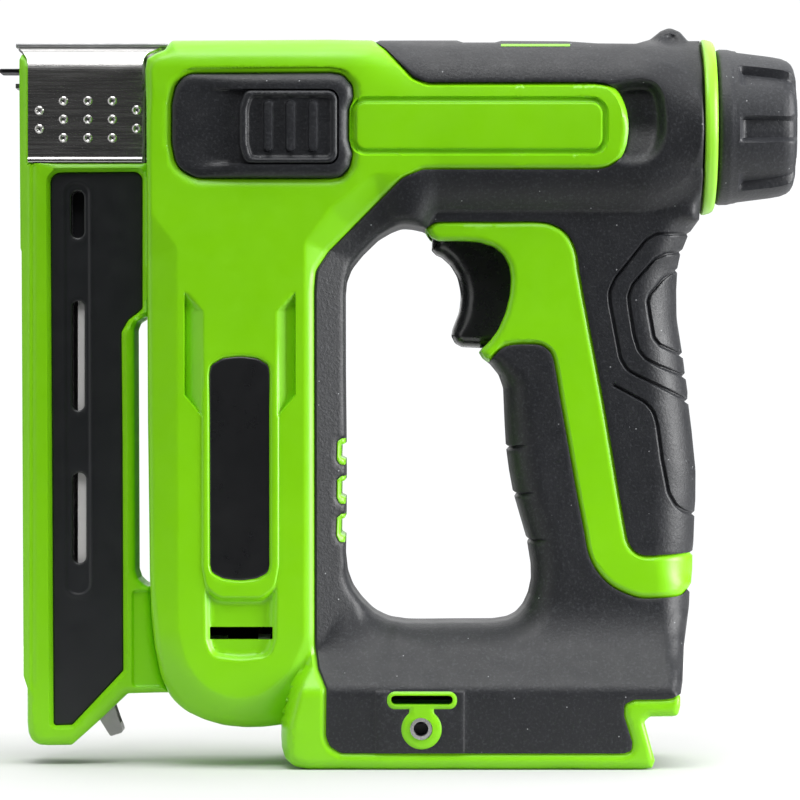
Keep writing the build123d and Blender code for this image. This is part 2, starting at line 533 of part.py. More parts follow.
yoke = slab(-33, -26.6, -20.05, -18.6, 174, 195.2) + slab(-33, -26.6, 18.6, 20.05, 174, 195.2) + slab(-33, -26.6, -20.05, 20.05, 193.8, 195.2)
save(yoke, "release_yoke")

# ---------------------------------------------------------------- labels, inserts, base electronics
plate = prism(label_face, -H_UP + 0.8, -H_UP + 0.15)
save([plate, flip(plate)], "label_plates")
ins = rod_y(hx, hz, 2.98, -H_BASE, -H_BASE + 5.6) - rod_y(hx, hz, 2.0, -H_BASE - 2, -H_BASE + 8)
save([ins, flip(ins)], "hook_inserts")
board = slab(-5, 58, -24, 24, 17, 18.6)
board = board + slab(10, 30, -10, 10, 18.6, 24.5) + rod_z(42, 13, 5, 18.6, 26) + rod_z(42, -13, 4, 18.6, 25) + slab(48, 56, -6, 6, 18.6, 21)
save(board, "control_board")
block = slab(-16, -2, -16, 16, 5.2, 16.2)
blades = []
for y in (-12, -4, 4, 12):
    block = block - slab(-8, 0, y - .45, y + .45, 5.7, 9.3)
    blades.append(slab(-7.9, 9, y - .4, y + .4, 5.75, 9.25))
save(block, "terminal_block")
save(blades, "terminal_blades")
leads = []
for y in (-5.5, 5.5):
    path = FilletPolyline((MOT_X + 3, y, 40.95), (MOT_X + 3, y, 19.75), (1.0, y, 19.75), radius=8)
    leads.append(sweep(Plane(origin=path @ 0, z_dir=path % 0) * Circle(0.95), path=path))
save(leads, "motor_leads")
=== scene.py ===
import bpy
import json
import math
import numpy as np
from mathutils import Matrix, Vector
from mathutils.geometry import delaunay_2d_cdt


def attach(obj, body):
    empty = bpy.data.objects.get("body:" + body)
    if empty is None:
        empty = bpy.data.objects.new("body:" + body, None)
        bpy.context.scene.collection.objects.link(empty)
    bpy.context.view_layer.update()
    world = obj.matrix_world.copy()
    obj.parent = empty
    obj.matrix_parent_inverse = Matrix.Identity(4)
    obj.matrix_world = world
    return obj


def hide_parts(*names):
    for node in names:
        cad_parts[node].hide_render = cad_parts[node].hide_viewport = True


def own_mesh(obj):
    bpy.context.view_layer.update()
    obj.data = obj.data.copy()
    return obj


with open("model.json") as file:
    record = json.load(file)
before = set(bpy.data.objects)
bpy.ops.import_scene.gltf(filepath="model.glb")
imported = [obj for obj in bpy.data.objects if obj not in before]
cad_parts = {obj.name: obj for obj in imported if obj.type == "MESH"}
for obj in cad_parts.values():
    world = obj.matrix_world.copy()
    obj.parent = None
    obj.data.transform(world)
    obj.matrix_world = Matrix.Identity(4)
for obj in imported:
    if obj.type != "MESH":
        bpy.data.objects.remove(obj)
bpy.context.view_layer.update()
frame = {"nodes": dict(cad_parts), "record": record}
nodes = frame["nodes"]

# outline units and their scale: 0.28 mm per unit at the middle plane, seen from 1300 mm
PX, VIEW, XOFF, ZOFF = 0.28, 1300.0, 0.8, 101.0


def place(P, h):
    s = PX * (VIEW - h) / VIEW
    return np.stack([(P[:, 0] - 400.0) * s + XOFF, -h, (400.0 - P[:, 1]) * s + ZOFF], 1)


# ------------------------------------------------------------------ outlines
def split(poly, seg, closed=True):
    out = []
    n = len(poly)
    for i in range(n if closed else n - 1):
        a, b = poly[i], poly[(i + 1) % n]
        k = max(1, int(math.ceil(np.hypot(*(b - a)) / seg)))
        for j in range(k):
            out.append(a + (b - a) * j / k)
    if not closed:
        out.append(poly[-1])
    return np.array(out)


def ring(pts, chord=1.1, closed=True):
    """outline through (u, v, corner radius)"""
    P = [np.array(p[:2], float) for p in pts]
    R = [p[2] if len(p) > 2 else 0.0 for p in pts]
    out, n = [], len(P)
    for i in range(n):
        b, r = P[i], R[i]
        if r <= 0 or (not closed and i in (0, n - 1)):
            out.append(b)
            continue
        d1, d2 = P[i - 1] - b, P[(i + 1) % n] - b
        l1, l2 = np.hypot(*d1), np.hypot(*d2)
        d1, d2 = d1 / l1, d2 / l2
        ang = math.acos(max(-1.0, min(1.0, float(d1 @ d2))))
        if ang > math.radians(178.5):
            out.append(b)
            continue
        t = min(r / math.tan(ang / 2), 0.49 * l1, 0.49 * l2)
        rad = t * math.tan(ang / 2)
        bis = (d1 + d2) / np.hypot(*(d1 + d2))
        cen = b + bis * rad / math.sin(ang / 2)
        p1, p2 = b + d1 * t - cen, b + d2 * t - cen
        a1 = math.atan2(p1[1], p1[0])
        da = (math.atan2(p2[1], p2[0]) - a1 + math.pi) % (2 * math.pi) - math.pi
        k = max(2, int(math.ceil(abs(da) * rad / chord)))
        for j in range(k + 1):
            q = a1 + da * j / k
            out.append(cen + rad * np.array([math.cos(q), math.sin(q)]))
    return np.array(out)


def curve(pts, step=1.6):
    """closed outline running smoothly through (u, v); a third value marks a sharp corner"""
    P = np.array([p[:2] for p in pts], float)
    hard = [len(p) > 2 for p in pts]
    n = len(P)
    seg = np.roll(P, -1, 0) - P
    ln = np.maximum(np.hypot(seg[:, 0], seg[:, 1]), 1e-9)
    un = seg / ln[:, None]
    out = []
    for i in range(n):
        j = (i + 1) % n
        t = []
        for k in (i, j):
            if hard[k]:
                t.append(un[i])
            else:
                a, b = (k - 1) % n, k
                d = un[a] * ln[a] + un[b] * ln[b] if not (hard[a] or hard[(k + 1) % n]) else un[a] + un[b]
                t.append(d / max(np.hypot(*d), 1e-9))
        m = max(1, int(math.ceil(ln[i] / step)))
        for q in np.arange(m) / m:
            h1, h2 = 2 * q ** 3 - 3 * q ** 2 + 1, q ** 3 - 2 * q ** 2 + q
            h3, h4 = -2 * q ** 3 + 3 * q ** 2, q ** 3 - q ** 2
            out.append(h1 * P[i] + h2 * ln[i] * t[0] + h3 * P[j] + h4 * ln[i] * t[1])
    return np.array(out)


def circle(u, v, r, n=40):
    t = np.linspace(0, 2 * math.pi, n, endpoint=False)
    return np.stack([u + r * np.cos(t), v + r * np.sin(t)], 1)


def dist(P, poly, closed=True):
    a = poly if closed else poly[:-1]
    b = np.roll(poly, -1, 0) if closed else poly[1:]
    ax, ay = a[:, 0].astype(np.float32), a[:, 1].astype(np.float32)
    bx, by = (b[:, 0] - a[:, 0]).astype(np.float32), (b[:, 1] - a[:, 1]).astype(np.float32)
    il = 1.0 / np.maximum(bx * bx + by * by, 1e-9)
    out = np.empty(len(P))
    for i in range(0, len(P), 1500):
        q = P[i:i + 1500].astype(np.float32)
        dx, dy = q[:, :1] - ax, q[:, 1:2] - ay
        t = dx * bx
        t += dy * by
        t *= il
        np.clip(t, 0, 1, out=t)
        dx -= t * bx
        dy -= t * by
        dx *= dx
        dy *= dy
        dx += dy
        out[i:i + 1500] = np.sqrt(dx.min(1))
    return out


def inside(P, poly):
    x, y = P[:, 0], P[:, 1]
    res = np.zeros(len(P), bool)
    n = len(poly)
    for i in range(n):
        (x1, y1), (x2, y2) = poly[i], poly[(i + 1) % n]
        if y1 == y2:
            continue
        hit = (y1 > y) != (y2 > y)
        if hit.any():
            res ^= hit & (x < (x2 - x1) * (y - y1) / (y2 - y1) + x1)
    return res


def signed(P, poly, reach=60.0):
    """distance to the outline, positive inside; far points get -reach"""
    lo, hi = poly.min(0) - reach, poly.max(0) + reach
    near = ((P >= lo) & (P <= hi)).all(1)
    out = np.full(len(P), -reach)
    if near.any():
        Q = P[near]
        d = dist(Q, poly)
        out[near] = np.where(inside(Q, poly), d, -d)
    return out


def sm(x, a, b):
    t = np.clip((x - a) / (b - a), 0, 1)
    return t * t * (3 - 2 * t)


def smax(a, b, k):
    h = np.clip(0.5 + 0.5 * (a - b) / k, 0, 1)
    return b + (a - b) * h + k * h * (1 - h)


# ------------------------------------------------------------------ triangulated areas
class Points:
    """points kept at least a given distance apart"""

    def __init__(self):
        self.cells, self.pts = {}, []

    def add(self, P, r):
        c, r2 = 2.0, r * r
        span = int(math.ceil(r / c))
        cells, pts = self.cells, self.pts
        for x, y in P:
            i, j = int(x // c), int(y // c)
            ok = True
            if r > 0:
                for a in range(i - span, i + span + 1):
                    for b in range(j - span, j + span + 1):
                        for (qx, qy) in cells.get((a, b), ()):
                            if (qx - x) ** 2 + (qy - y) ** 2 < r2:
                                ok = False
                                break
                        if not ok:
                            break
                    if not ok:
                        break
            if ok:
                cells.setdefault((i, j), []).append((x, y))
                pts.append((x, y))


def offsets(poly, d, step, closed=True, sides=(1, -1)):
    q = split(poly, step, closed)
    if closed:
        t = np.roll(q, -1, 0) - np.roll(q, 1, 0)
    else:
        t = np.gradient(q, axis=0)
    t = t / np.maximum(np.hypot(t[:, 0], t[:, 1]), 1e-9)[:, None]
    nrm = np.stack([-t[:, 1], t[:, 0]], 1)
    res = []
    for s in sides:
        p = q + nrm * d * s
        keep = dist(p, poly, closed) > d * 0.93 - 0.02
        res.append(p[keep])
    return np.vstack(res)


def area(edges, lines, bounds_, grid, keep, extra=None):
    """triangulation of the plane cut along the closed outlines in edges: (poly, offsets); lines: (open or closed poly, offsets, closed)"""
    pts = Points()
    cons = []
    for poly, _ in edges:
        q = split(poly, 2.0)
        n0 = len(pts.pts)
        pts.add(q, 0)
        n1 = len(pts.pts)
        cons += [(i, i + 1 if i + 1 < n1 else n0) for i in range(n0, n1)]
    for poly, offs in edges:
        for d in offs:
            st = min(max(1.3, d * 0.8), 3.4)
            p = offsets(poly, d, st)
            pts.add(p[keep(p)], min(0.62 * st, 0.75 * d + 0.15))
    for poly, offs, closed in lines:
        for d in offs:
            st = min(max(1.2, d * 0.8), 3.4)
            p = split(poly, 1.3, closed) if d == 0 else offsets(poly, d, st, closed)
            pts.add(p[keep(p)], min(0.6 * st, 0.6))
    if extra is not None:
        pts.add(extra, 0.6)
    u0, v0, u1, v1 = bounds_
    rows = np.arange(v0, v1, grid * 0.866)
    g = []
    for i, v in enumerate(rows):
        us = np.arange(u0 + (grid / 2 if i % 2 else 0), u1, grid)
        g.append(np.stack([us, np.full(len(us), v)], 1))
    g = np.vstack(g)
    g = g[keep(g)]
    pts.add(g, grid * 0.72)
    V, _, F, *_ = delaunay_2d_cdt([Vector(p) for p in pts.pts], cons, [], 0, 1e-4)
    V = np.array([(p.x, p.y) for p in V])
    F = np.array([f for f in F if len(f) == 3], int)
    return V, F


def loops_of(F):
    """directed boundary edges of a triangle set, chained"""
    from collections import defaultdict
    seen = {}
    for a, b, c in F:
        for e in ((a, b), (b, c), (c, a)):
            seen[e] = True
    nxt = defaultdict(list)
    for a, b in seen:
        if (b, a) not in seen:
            nxt[a].append(b)
    loops = []
    while nxt:
        s = next(iter(nxt))
        loop, cur = [s], s
        while True:
            ns = nxt[cur]
            n = ns.pop()
            if not ns:
                del nxt[cur]
            if n == s:
                break
            loop.append(n)
            cur = n
        loops.append(loop)
    return loops


def mesh_object(name, V, F, mats, sharp=34.0, mirror=False, face_mat=None):
    V = np.array(V, float) * 1e-3
    F = [tuple(int(i) for i in f) for f in F]
    if mirror:
        V = V * np.array([1, -1, 1])
        F = [f[::-1] for f in F]
    me = bpy.data.meshes.new(name)
    me.from_pydata(V.tolist(), [], F)
    me.validate()
    me.polygons.foreach_set("use_smooth", [True] * len(me.polygons))
    me.set_sharp_from_angle(angle=math.radians(sharp))
    ob = bpy.data.objects.new(name, me)
    bpy.context.scene.collection.objects.link(ob)
    for m in mats if isinstance(mats, (list, tuple)) else [mats]:
        me.materials.append(m)
    if face_mat is not None:
        me.polygons.foreach_set("material_index", [int(i) for i in face_mat])
    me.update()
    return ob


def shell(V, F, hfun, ybfun, t=2.2, rows=8, back=None, rim=None, bump=None):
    """closed shell over the triangles F of the plane: outer face at half width h, straight side walls down to yb, inner face t below"""
    # triangle winding: u to the right and v down seen from -y
    P3 = V[F]
    e1, e2 = P3[:, 1] - P3[:, 0], P3[:, 2] - P3[:, 0]
    F = F.copy()
    flip = (e1[:, 0] * e2[:, 1] - e1[:, 1] * e2[:, 0]) > 0
    F[flip] = F[flip][:, [0, 2, 1]]
    ids = np.unique(F)
    idx = -np.ones(len(V), int)
    idx[ids] = np.arange(len(ids))
    P, T = V[ids], idx[F]
    h = hfun(P)
    top = place(P, h)
    loops = loops_of(T)
    bnd = np.array([i for l in loops for i in l])
    yb = np.minimum(ybfun(P[bnd], h[bnd]), h[bnd] - 0.25)
    out_v = [top]
    faces = [tuple(f) for f in T]
    base = len(top)
    nb = len(bnd)
    prev = bnd
    for k in range(1, rows + 1):
        y = h[bnd] + (yb - h[bnd]) * k / rows
        w = top[bnd].copy()
        w[:, 1] = -y
        if bump is not None:
            w = bump(w, k / rows)
        out_v.append(w)
        cur = np.arange(base, base + nb)
        o = 0
        for l in loops:
            n = len(l)
            for i in range(n):
                j = (i + 1) % n
                faces.append((prev[o + j], prev[o + i], cur[o + i], cur[o + j]))
            o += n
        prev = cur
        base += nb
    # inner face over the same outline
    B = P[bnd]
    cons, o = [], 0
    for l in loops:
        n = len(l)
        cons += [(o + i, o + (i + 1) % n) for i in range(n)]
        o += n
    polys, o = [], 0
    for l in loops:
        polys.append(B[o:o + len(l)])
        o += len(l)
    lo, hi = B.min(0), B.max(0)
    gpts = Points()
    gpts.add(B, 0)
    tp = t / PX
    if back is None:
        for q in polys:
            for d in (tp, tp + 1.6, tp + 4.0):
                p = offsets(q, d, 4.0)
                gpts.add(p, 1.6)
    gs = 7.0
    gx, gy = np.meshgrid(np.arange(lo[0], hi[0], gs), np.arange(lo[1], hi[1], gs))
    gpts.add(np.stack([gx.ravel(), gy.ravel()], 1), 2.6)
    A = np.array(gpts.pts)
    par = np.zeros(len(A), bool)
    for q in polys:
        par ^= inside(A, q)
    par[:nb] = True
    dmin = np.full(len(A), 1e9)
    for q in polys:
        dmin = np.minimum(dmin, dist(A, q))
    ok = par & (dmin > 0.5)
    ok[:nb] = True
    A = A[ok]
    V2, _, F2, ov, *_ = delaunay_2d_cdt([Vector(p) for p in A], cons, [], 0, 1e-5)
    V2 = np.array([(p.x, p.y) for p in V2])
    F2 = np.array([f for f in F2 if len(f) == 3], int)
    cen = V2[F2].mean(1)
    par = np.zeros(len(F2), bool)
    for q in polys:
        par ^= inside(cen, q)
    F2 = F2[par]
    gid = -np.ones(len(V2), int)
    for i, o_ in enumerate(ov):
        for k in o_:
            if k < nb:
                gid[i] = prev[k]
                break
    new = np.array([i for i in np.unique(F2) if gid[i] < 0], int)
    if len(new):
        Q = V2[new]
        hq = hfun(Q)
        pq = place(Q, hq)
        if back is not None:
            yin = np.full(len(Q), back)
        else:
            d = np.full(len(Q), 1e9)
            near = np.zeros(len(Q))
            for i in range(0, len(Q), 2000):
                dd = np.hypot(Q[i:i + 2000, None, 0] - B[None, :, 0], Q[i:i + 2000, None, 1] - B[None, :, 1])
                j = dd.argmin(1)
                d[i:i + 2000] = dd[np.arange(len(j)), j] * PX
                near[i:i + 2000] = yb[j]
            yin = np.minimum(hq - t, near + np.maximum(0, d - t * 0.95) * 20.0)
            yin = np.maximum(yin, 0.08)
            yin = np.where(near > hq - t, np.minimum(near, hq - 0.4), yin)
        pq[:, 1] = -yin
        out_v.append(pq)
        gid[new] = np.arange(base, base + len(new))
        base += len(new)
    P3 = V2[F2]
    e1, e2 = P3[:, 1] - P3[:, 0], P3[:, 2] - P3[:, 0]
    pos = (e1[:, 0] * e2[:, 1] - e1[:, 1] * e2[:, 0]) > 0
    for f, p in zip(F2, pos):
        g = gid[f]
        faces.append((g[0], g[1], g[2]) if p else (g[0], g[2], g[1]))
    return np.vstack(out_v), faces


# ------------------------------------------------------------------ materials
def nodes_of(mat):
    mat.use_nodes = True
    nt = mat.node_tree
    nt.nodes.clear()
    out = nt.nodes.new("ShaderNodeOutputMaterial")
    bs = nt.nodes.new("ShaderNodeBsdfPrincipled")
    nt.links.new(bs.outputs["BSDF"], out.inputs["Surface"])
    co = nt.nodes.new("ShaderNodeTexCoord")
    return nt, bs, co.outputs["Object"]


def noise(nt, co, scale, detail=2.0, rough=0.5, stretch=None):
    n = nt.nodes.new("ShaderNodeTexNoise")
    n.inputs["Scale"].default_value = scale
    n.inputs["Detail"].default_value = detail
    n.inputs["Roughness"].default_value = rough
    if stretch is not None:
        mp = nt.nodes.new("ShaderNodeMapping")
        mp.inputs["Scale"].default_value = stretch
        nt.links.new(co, mp.inputs["Vector"])
        co = mp.outputs["Vector"]
    nt.links.new(co, n.inputs["Vector"])
    return n.outputs["Fac"]


def remap(nt, fac, a, b, c, d):
    m = nt.nodes.new("ShaderNodeMapRange")
    for i, v in zip(("From Min", "From Max", "To Min", "To Max"), (a, b, c, d)):
        m.inputs[i].default_value = v
    nt.links.new(fac, m.inputs["Value"])
    return m.outputs["Result"]


def mixed(nt, fac, a, b):
    m = nt.nodes.new("ShaderNodeMix")
    m.data_type = "RGBA"
    nt.links.new(fac, m.inputs["Factor"])
    for s, v in ((m.inputs[6], a), (m.inputs[7], b)):
        if isinstance(v, (tuple, list)):
            s.default_value = (*v, 1.0)
        else:
            nt.links.new(v, s)
    return m.outputs[2]


def bump(nt, bs, height, strength, distance):
    b = nt.nodes.new("ShaderNodeBump")
    b.inputs["Strength"].default_value = strength
    b.inputs["Distance"].default_value = distance
    nt.links.new(height, b.inputs["Height"])
    nt.links.new(b.outputs["Normal"], bs.inputs["Normal"])


def specks(nt, co, scale, share, size):
    """1 on small dust specks, else 0"""
    v = nt.nodes.new("ShaderNodeTexVoronoi")
    v.inputs["Scale"].default_value = scale
    nt.links.new(co, v.inputs["Vector"])
    sep = nt.nodes.new("ShaderNodeSeparateColor")
    nt.links.new(v.outputs["Color"], sep.inputs["Color"])
    pick = remap(nt, sep.outputs["Red"], 1 - share, 1 - share + 0.01, 0, 1)
    rad = remap(nt, v.outputs["Distance"], size * 0.6, size, 1, 0)
    m = nt.nodes.new("ShaderNodeMath")
    m.operation = "MULTIPLY"
    nt.links.new(pick, m.inputs[0])
    nt.links.new(rad, m.inputs[1])
    return m.outputs["Value"]


def plastic(name, dark, light, rough, grain=(2600.0, 0.10, 0.00006), dust=None, spec=0.5, fleck=None):
    mat = bpy.data.materials.new(name)
    nt, bs, co = nodes_of(mat)
    slow = noise(nt, co, 55.0, 3.0, 0.55)
    col = mixed(nt, remap(nt, slow, 0.3, 0.7, 0, 1), dark, light)
    if fleck:
        col = mixed(nt, remap(nt, noise(nt, co, fleck[0], 2.0, 0.6), fleck[1], fleck[2], 0, fleck[3]), col, fleck[4])
    if dust:
        col = mixed(nt, specks(nt, co, *dust[:3]), col, dust[3])
    nt.links.new(col, bs.inputs["Base Color"])
    fine = noise(nt, co, grain[0], 3.0, 0.6)
    mid = noise(nt, co, 220.0, 4.0, 0.6)
    nt.links.new(remap(nt, mid, 0.25, 0.75, rough - 0.05, rough + 0.06), bs.inputs["Roughness"])
    bs.inputs["Specular IOR Level"].default_value = spec
    bump(nt, bs, fine, grain[1], grain[2])
    return mat


def metal(name, dark, light, rough, brush=(60.0, 2600.0, 2600.0), strength=0.12, spot=None):
    mat = bpy.data.materials.new(name)
    nt, bs, co = nodes_of(mat)
    lines = noise(nt, co, 1.0, 5.0, 0.65, brush)
    slow = noise(nt, co, 90.0, 3.0, 0.6)
    nt.links.new(mixed(nt, remap(nt, slow, 0.3, 0.7, 0, 1), dark, light), bs.inputs["Base Color"])
    bs.inputs["Metallic"].default_value = 1.0
    nt.links.new(remap(nt, lines, 0.25, 0.75, rough - 0.07, rough + 0.10), bs.inputs["Roughness"])
    bump(nt, bs, lines, strength, 0.00004)
    return mat


GREEN = plastic("green_plastic", (0.216, 0.632, 0.0012), (0.232, 0.662, 0.0020), 0.36, (3200.0, 0.05, 0.00004))
# lighter copy of the housing green for the rear ring: painted highlight on its rolled edges
RING_PAINTED_HIGHLIGHT = plastic("ring_green_painted_highlight", (0.290, 0.700, 0.030), (0.315, 0.730, 0.040), 0.34, (3200.0, 0.05, 0.00004))
SOFT = plastic("soft_black", (0.0086, 0.0095, 0.0120), (0.0120, 0.0130, 0.0162), 0.48, (1300.0, 0.5, 0.00020),
               (560.0, 0.06, 0.13, (0.30, 0.31, 0.32)), 0.5, (1250.0, 0.52, 0.70, 0.75, (0.033, 0.035, 0.040)))
GRIP = plastic("knob_black", (0.0172, 0.0184, 0.0222), (0.0222, 0.0236, 0.0282), 0.50, (1300.0, 0.5, 0.00020),
               (560.0, 0.06, 0.13, (0.30, 0.31, 0.32)), 0.5, (1250.0, 0.52, 0.70, 0.7, (0.050, 0.053, 0.060)))
BLACK = plastic("black_plastic", (0.0112, 0.0120, 0.0142), (0.0140, 0.0150, 0.0175), 0.42, (2400.0, 0.10, 0.00006),
                (520.0, 0.010, 0.08, (0.22, 0.22, 0.22)), 0.45)
SATIN = plastic("trigger_satin", (0.0100, 0.0104, 0.0112), (0.0125, 0.0130, 0.0140), 0.27, (2400.0, 0.05, 0.00004), None, 0.75)
LABEL = plastic("label_black", (0.0100, 0.0104, 0.0114), (0.0125, 0.0129, 0.0140), 0.30, (1500.0, 0.05, 0.00004), None, 0.5)
# near-black, darker than the black plastic: painted shade for the housing's inside
INNER_SHADE_PAINT = plastic("inner_painted_shade", (0.0035, 0.0036, 0.0038), (0.0050, 0.0050, 0.0053), 0.75)
STEEL = metal("guard_steel", (0.60, 0.59, 0.575), (0.72, 0.71, 0.70), 0.24)
BRIGHT = metal("bright_steel", (0.55, 0.545, 0.54), (0.66, 0.655, 0.65), 0.27, (900.0, 900.0, 90.0))
DARKST = metal("black_steel", (0.030, 0.030, 0.032), (0.050, 0.050, 0.053), 0.38, (80.0, 1800.0, 1800.0))
SPRING = metal("spring_steel", (0.42, 0.42, 0.42), (0.55, 0.55, 0.55), 0.30, (700.0, 700.0, 700.0))
CAST = metal("cast_steel", (0.24, 0.24, 0.245), (0.33, 0.33, 0.335), 0.48, (500.0, 500.0, 500.0), 0.25)
GEAR = metal("gear_steel", (0.36, 0.355, 0.35), (0.47, 0.465, 0.46), 0.34, (700.0, 700.0, 700.0))
CASE = metal("gear_case", (0.34, 0.345, 0.35), (0.44, 0.445, 0.45), 0.50, (420.0, 420.0, 420.0), 0.25)
CAN = metal("motor_steel", (0.46, 0.455, 0.44), (0.58, 0.575, 0.56), 0.36, (260.0, 260.0, 1900.0))
MAGNET = plastic("magnet", (0.030, 0.030, 0.031), (0.048, 0.048, 0.050), 0.60, (1500.0, 0.25, 0.0001))
COPPER = metal("copper", (0.60, 0.25, 0.12), (0.74, 0.34, 0.18), 0.36, (900.0, 900.0, 300.0))
BRASS = metal("contact_brass", (0.66, 0.48, 0.20), (0.78, 0.60, 0.28), 0.30, (200.0, 1500.0, 1500.0))
BOARD = plastic("board", (0.010, 0.070, 0.030), (0.014, 0.095, 0.042), 0.40, (900.0, 0.15, 0.00008))
WINDOW = plastic("clear_window", (0.020, 0.021, 0.022), (0.030, 0.031, 0.033), 0.14, (1200.0, 0.02, 0.00002))
RUBBER = plastic("bumper_rubber", (0.016, 0.016, 0.016), (0.024, 0.024, 0.024), 0.72, (1700.0, 0.3, 0.0001))
LEAD = plastic("lead_rubber", (0.10, 0.008, 0.008), (0.15, 0.012, 0.012), 0.48, (1900.0, 0.12, 0.00006))
RAIL = plastic("rail_steel", (0.46, 0.455, 0.445), (0.58, 0.575, 0.565), 0.34, (900.0, 0.10, 0.00005))
# near-white non-metal standing in for steel: painted glints and reflections seen through the slots
STRIP_GLINT_PAINT = plastic("strip_painted_glint", (0.70, 0.69, 0.675), (0.80, 0.79, 0.775), 0.34, (900.0, 0.10, 0.00005))
MARK = plastic("white_mark", (0.72, 0.72, 0.72), (0.80, 0.80, 0.80), 0.5, (1500.0, 0.06, 0.00004))

SLOT_MATS = {
    "green_plastic": GREEN, "soft_black": SOFT, "black_plastic": BLACK, "label_black": LABEL, "guard_steel": STEEL,
    "black_steel": DARKST, "bright_steel": BRIGHT, "spring_steel": SPRING, "cast_steel": CAST, "gear_steel": GEAR,
    "gear_case": CASE, "motor_steel": CAN, "magnet": MAGNET, "copper": COPPER, "board": BOARD, "clear_window": WINDOW,
    "bumper_rubber": RUBBER, "lead_rubber": LEAD, "contact_brass": BRASS,
}
for part in frame["record"]["subparts"]:
    if part["node"] in nodes:
        nodes[part["node"]].data.materials.clear()
        nodes[part["node"]].data.materials.append(SLOT_MATS[part["material_slot"]])

nodes["magazine_rail"].data.materials.clear()
nodes["magazine_rail"].data.materials.append(RAIL)
nodes["tail_latch"].data.materials.clear()
nodes["tail_latch"].data.materials.append(GEAR)

# ------------------------------------------------------------------ housing outlines
BODY = ring([
    (172, 40.6, 4), (330, 39.6), (372, 40.4), (376, 42.2), (380, 40.5), (457, 40.4, 3), (463, 42.4, 3), (495, 42.4, 3),
    (501, 40.8, 3), (566, 41.2, 4), (598, 43.3, 6), (636, 43.6, 12), (650, 39.6, 12), (660.5, 31.2, 10), (669.5, 27.6, 10),
    (680, 32, 9), (687.8, 41, 3), (699.5, 41.0), (702.6, 70, 60), (704.6, 126, 99), (702.6, 182, 60), (699.6, 213),
    (699.2, 219.5, 1), (690.3, 231.6), (686.6, 234), (687.6, 236.6), (682.4, 249.4), (678.8, 252), (680.2, 254.8),
    (677.4, 268), (675.0, 270.4), (677.2, 273), (676.3, 290, 60), (676.6, 318, 80), (682.0, 352.4), (679.0, 355.4),
    (683, 358.4), (684.8, 373), (681.8, 376.4), (685.9, 379.6), (687.6, 392, 20), (687.3, 398.8), (684.4, 401.6),
    (688.4, 404.4), (691.6, 430, 99), (695.6, 470, 99), (695.4, 500, 60), (694.4, 511), (691.4, 513.6), (694.4, 516.2),
    (693.4, 543, 60), (692.4, 550.4), (689.6, 552.2), (692.4, 555), (692.2, 570, 40), (691, 583), (687.2, 589.2),
    (689.6, 592), (689, 606, 40), (684, 645, 60), (682.6, 682), (680.9, 693.4), (679.2, 694.8), (680.4, 697), (680.3, 706, 6),
    (678, 715.4, 5), (672, 716.4, 3), (650, 716.6, 5), (644.2, 721.5, 4), (655, 761, 5), (652, 768, 3), (640, 769.5, 3),
    (378, 769.5), (308, 769.2, 30), (294, 766.4, 18), (285.4, 758.6, 16), (281.8, 747, 20), (281.2, 736, 30), (281.4, 724.6), (264, 726.8, 60), (246, 727.3, 60), (224, 725.3, 60),
    (204, 719.4, 60), (185, 710.6, 50), (170.5, 697, 40), (161, 676, 50), (154.5, 645, 99), (151.2, 610, 99),
    (149.8, 574, 99), (149.2, 520), (147.9, 420), (147.4, 317), (146.7, 200), (146.4, 110), (145.2, 70, 3), (147.2, 58.4, 4),
    (156, 53.4, 4), (164.6, 50, 3), (168.2, 45, 3)])
HOLE = ring([
    (402, 224.5, 20), (391, 228.8, 20), (378, 236.6, 30), (362, 252.2, 40), (350.6, 266.4, 30), (345.6, 279, 20),
    (344.4, 292, 40), (344.5, 371), (345.2, 436), (345.3, 443.4, 1), (341, 445, 1.6), (340.6, 457, 1.6), (345.3, 459, 1),
    (345.4, 480, 1), (341, 482, 1.6), (340.6, 495.4, 1.6), (345.3, 497.4, 1), (345.2, 517.6, 1), (340.8, 519.4, 1.6),
    (340.5, 534, 1.6), (345, 536.4, 1), (344.5, 556, 30), (346.6, 573.5, 30), (352, 588, 30), (361, 600.4, 40),
    (375, 612.6, 40), (390, 620, 40), (407, 622.4, 40), (494, 621.5, 30), (508.5, 619.2, 20), (517, 614.6, 20),
    (524.4, 605.6, 20), (529.6, 594, 20), (532.6, 580, 20), (532.2, 565, 30), (528.7, 543), (531.4, 540.2), (527.5, 537.6),
    (521.5, 517, 60), (515.7, 497), (518.4, 494.2), (514.2, 491.4), (510.3, 470, 60), (507.6, 449.8), (510.8, 447.2),
    (507.1, 444.6), (506, 425, 60), (504.4, 388, 14), (500, 374.4, 12), (491.4, 363.6, 8), (484, 357, 3), (480.4, 351, 2.5),
    (483.4, 347.6, 2), (490, 341, 20), (498.3, 330, 30), (506, 312.5, 40), (510.4, 294, 40), (511.4, 278, 30),
    (509.6, 265, 18), (503.4, 253.6, 16), (494, 246.2, 16), (480, 241.8, 20), (466, 240.6, 10), (438, 240.4, 4),
    (431, 237.2, 4), (425.8, 229.6, 2), (423, 227.6, 2), (412, 225.4, 20)])
G1 = ring([
    (376, 10), (376, 42.2), (386, 48.5, 8), (414, 76.6, 10), (427, 82, 14), (594, 81.7, 30), (606, 82.8, 30), (614.5, 87.4, 30), (621.4, 96.0, 40),
    (626.2, 108.4, 40), (628.5, 120, 60), (628.4, 133, 60), (626.6, 145.2, 40), (622.6, 155.8, 30), (615.2, 163.6, 30), (606, 168.4, 30), (594, 169.5, 30), (423, 169.5, 14), (403, 178, 20), (329, 252, 16),
    (316.4, 271, 20), (314.8, 290, 40), (315.2, 645, 30), (318, 668, 20), (326.4, 689, 3), (326, 736, 10), (329.5, 746, 10),
    (341, 753.4, 10), (624, 753.5, 4), (631.6, 750.6, 4), (632.2, 742, 4), (624, 716, 6), (624.2, 704.5, 5), (634, 699.7, 5),
    (662, 699.5, 5), (672, 698.6, 6), (679.2, 694.8), (705, 691), (705, 800), (100, 800), (100, 10)])
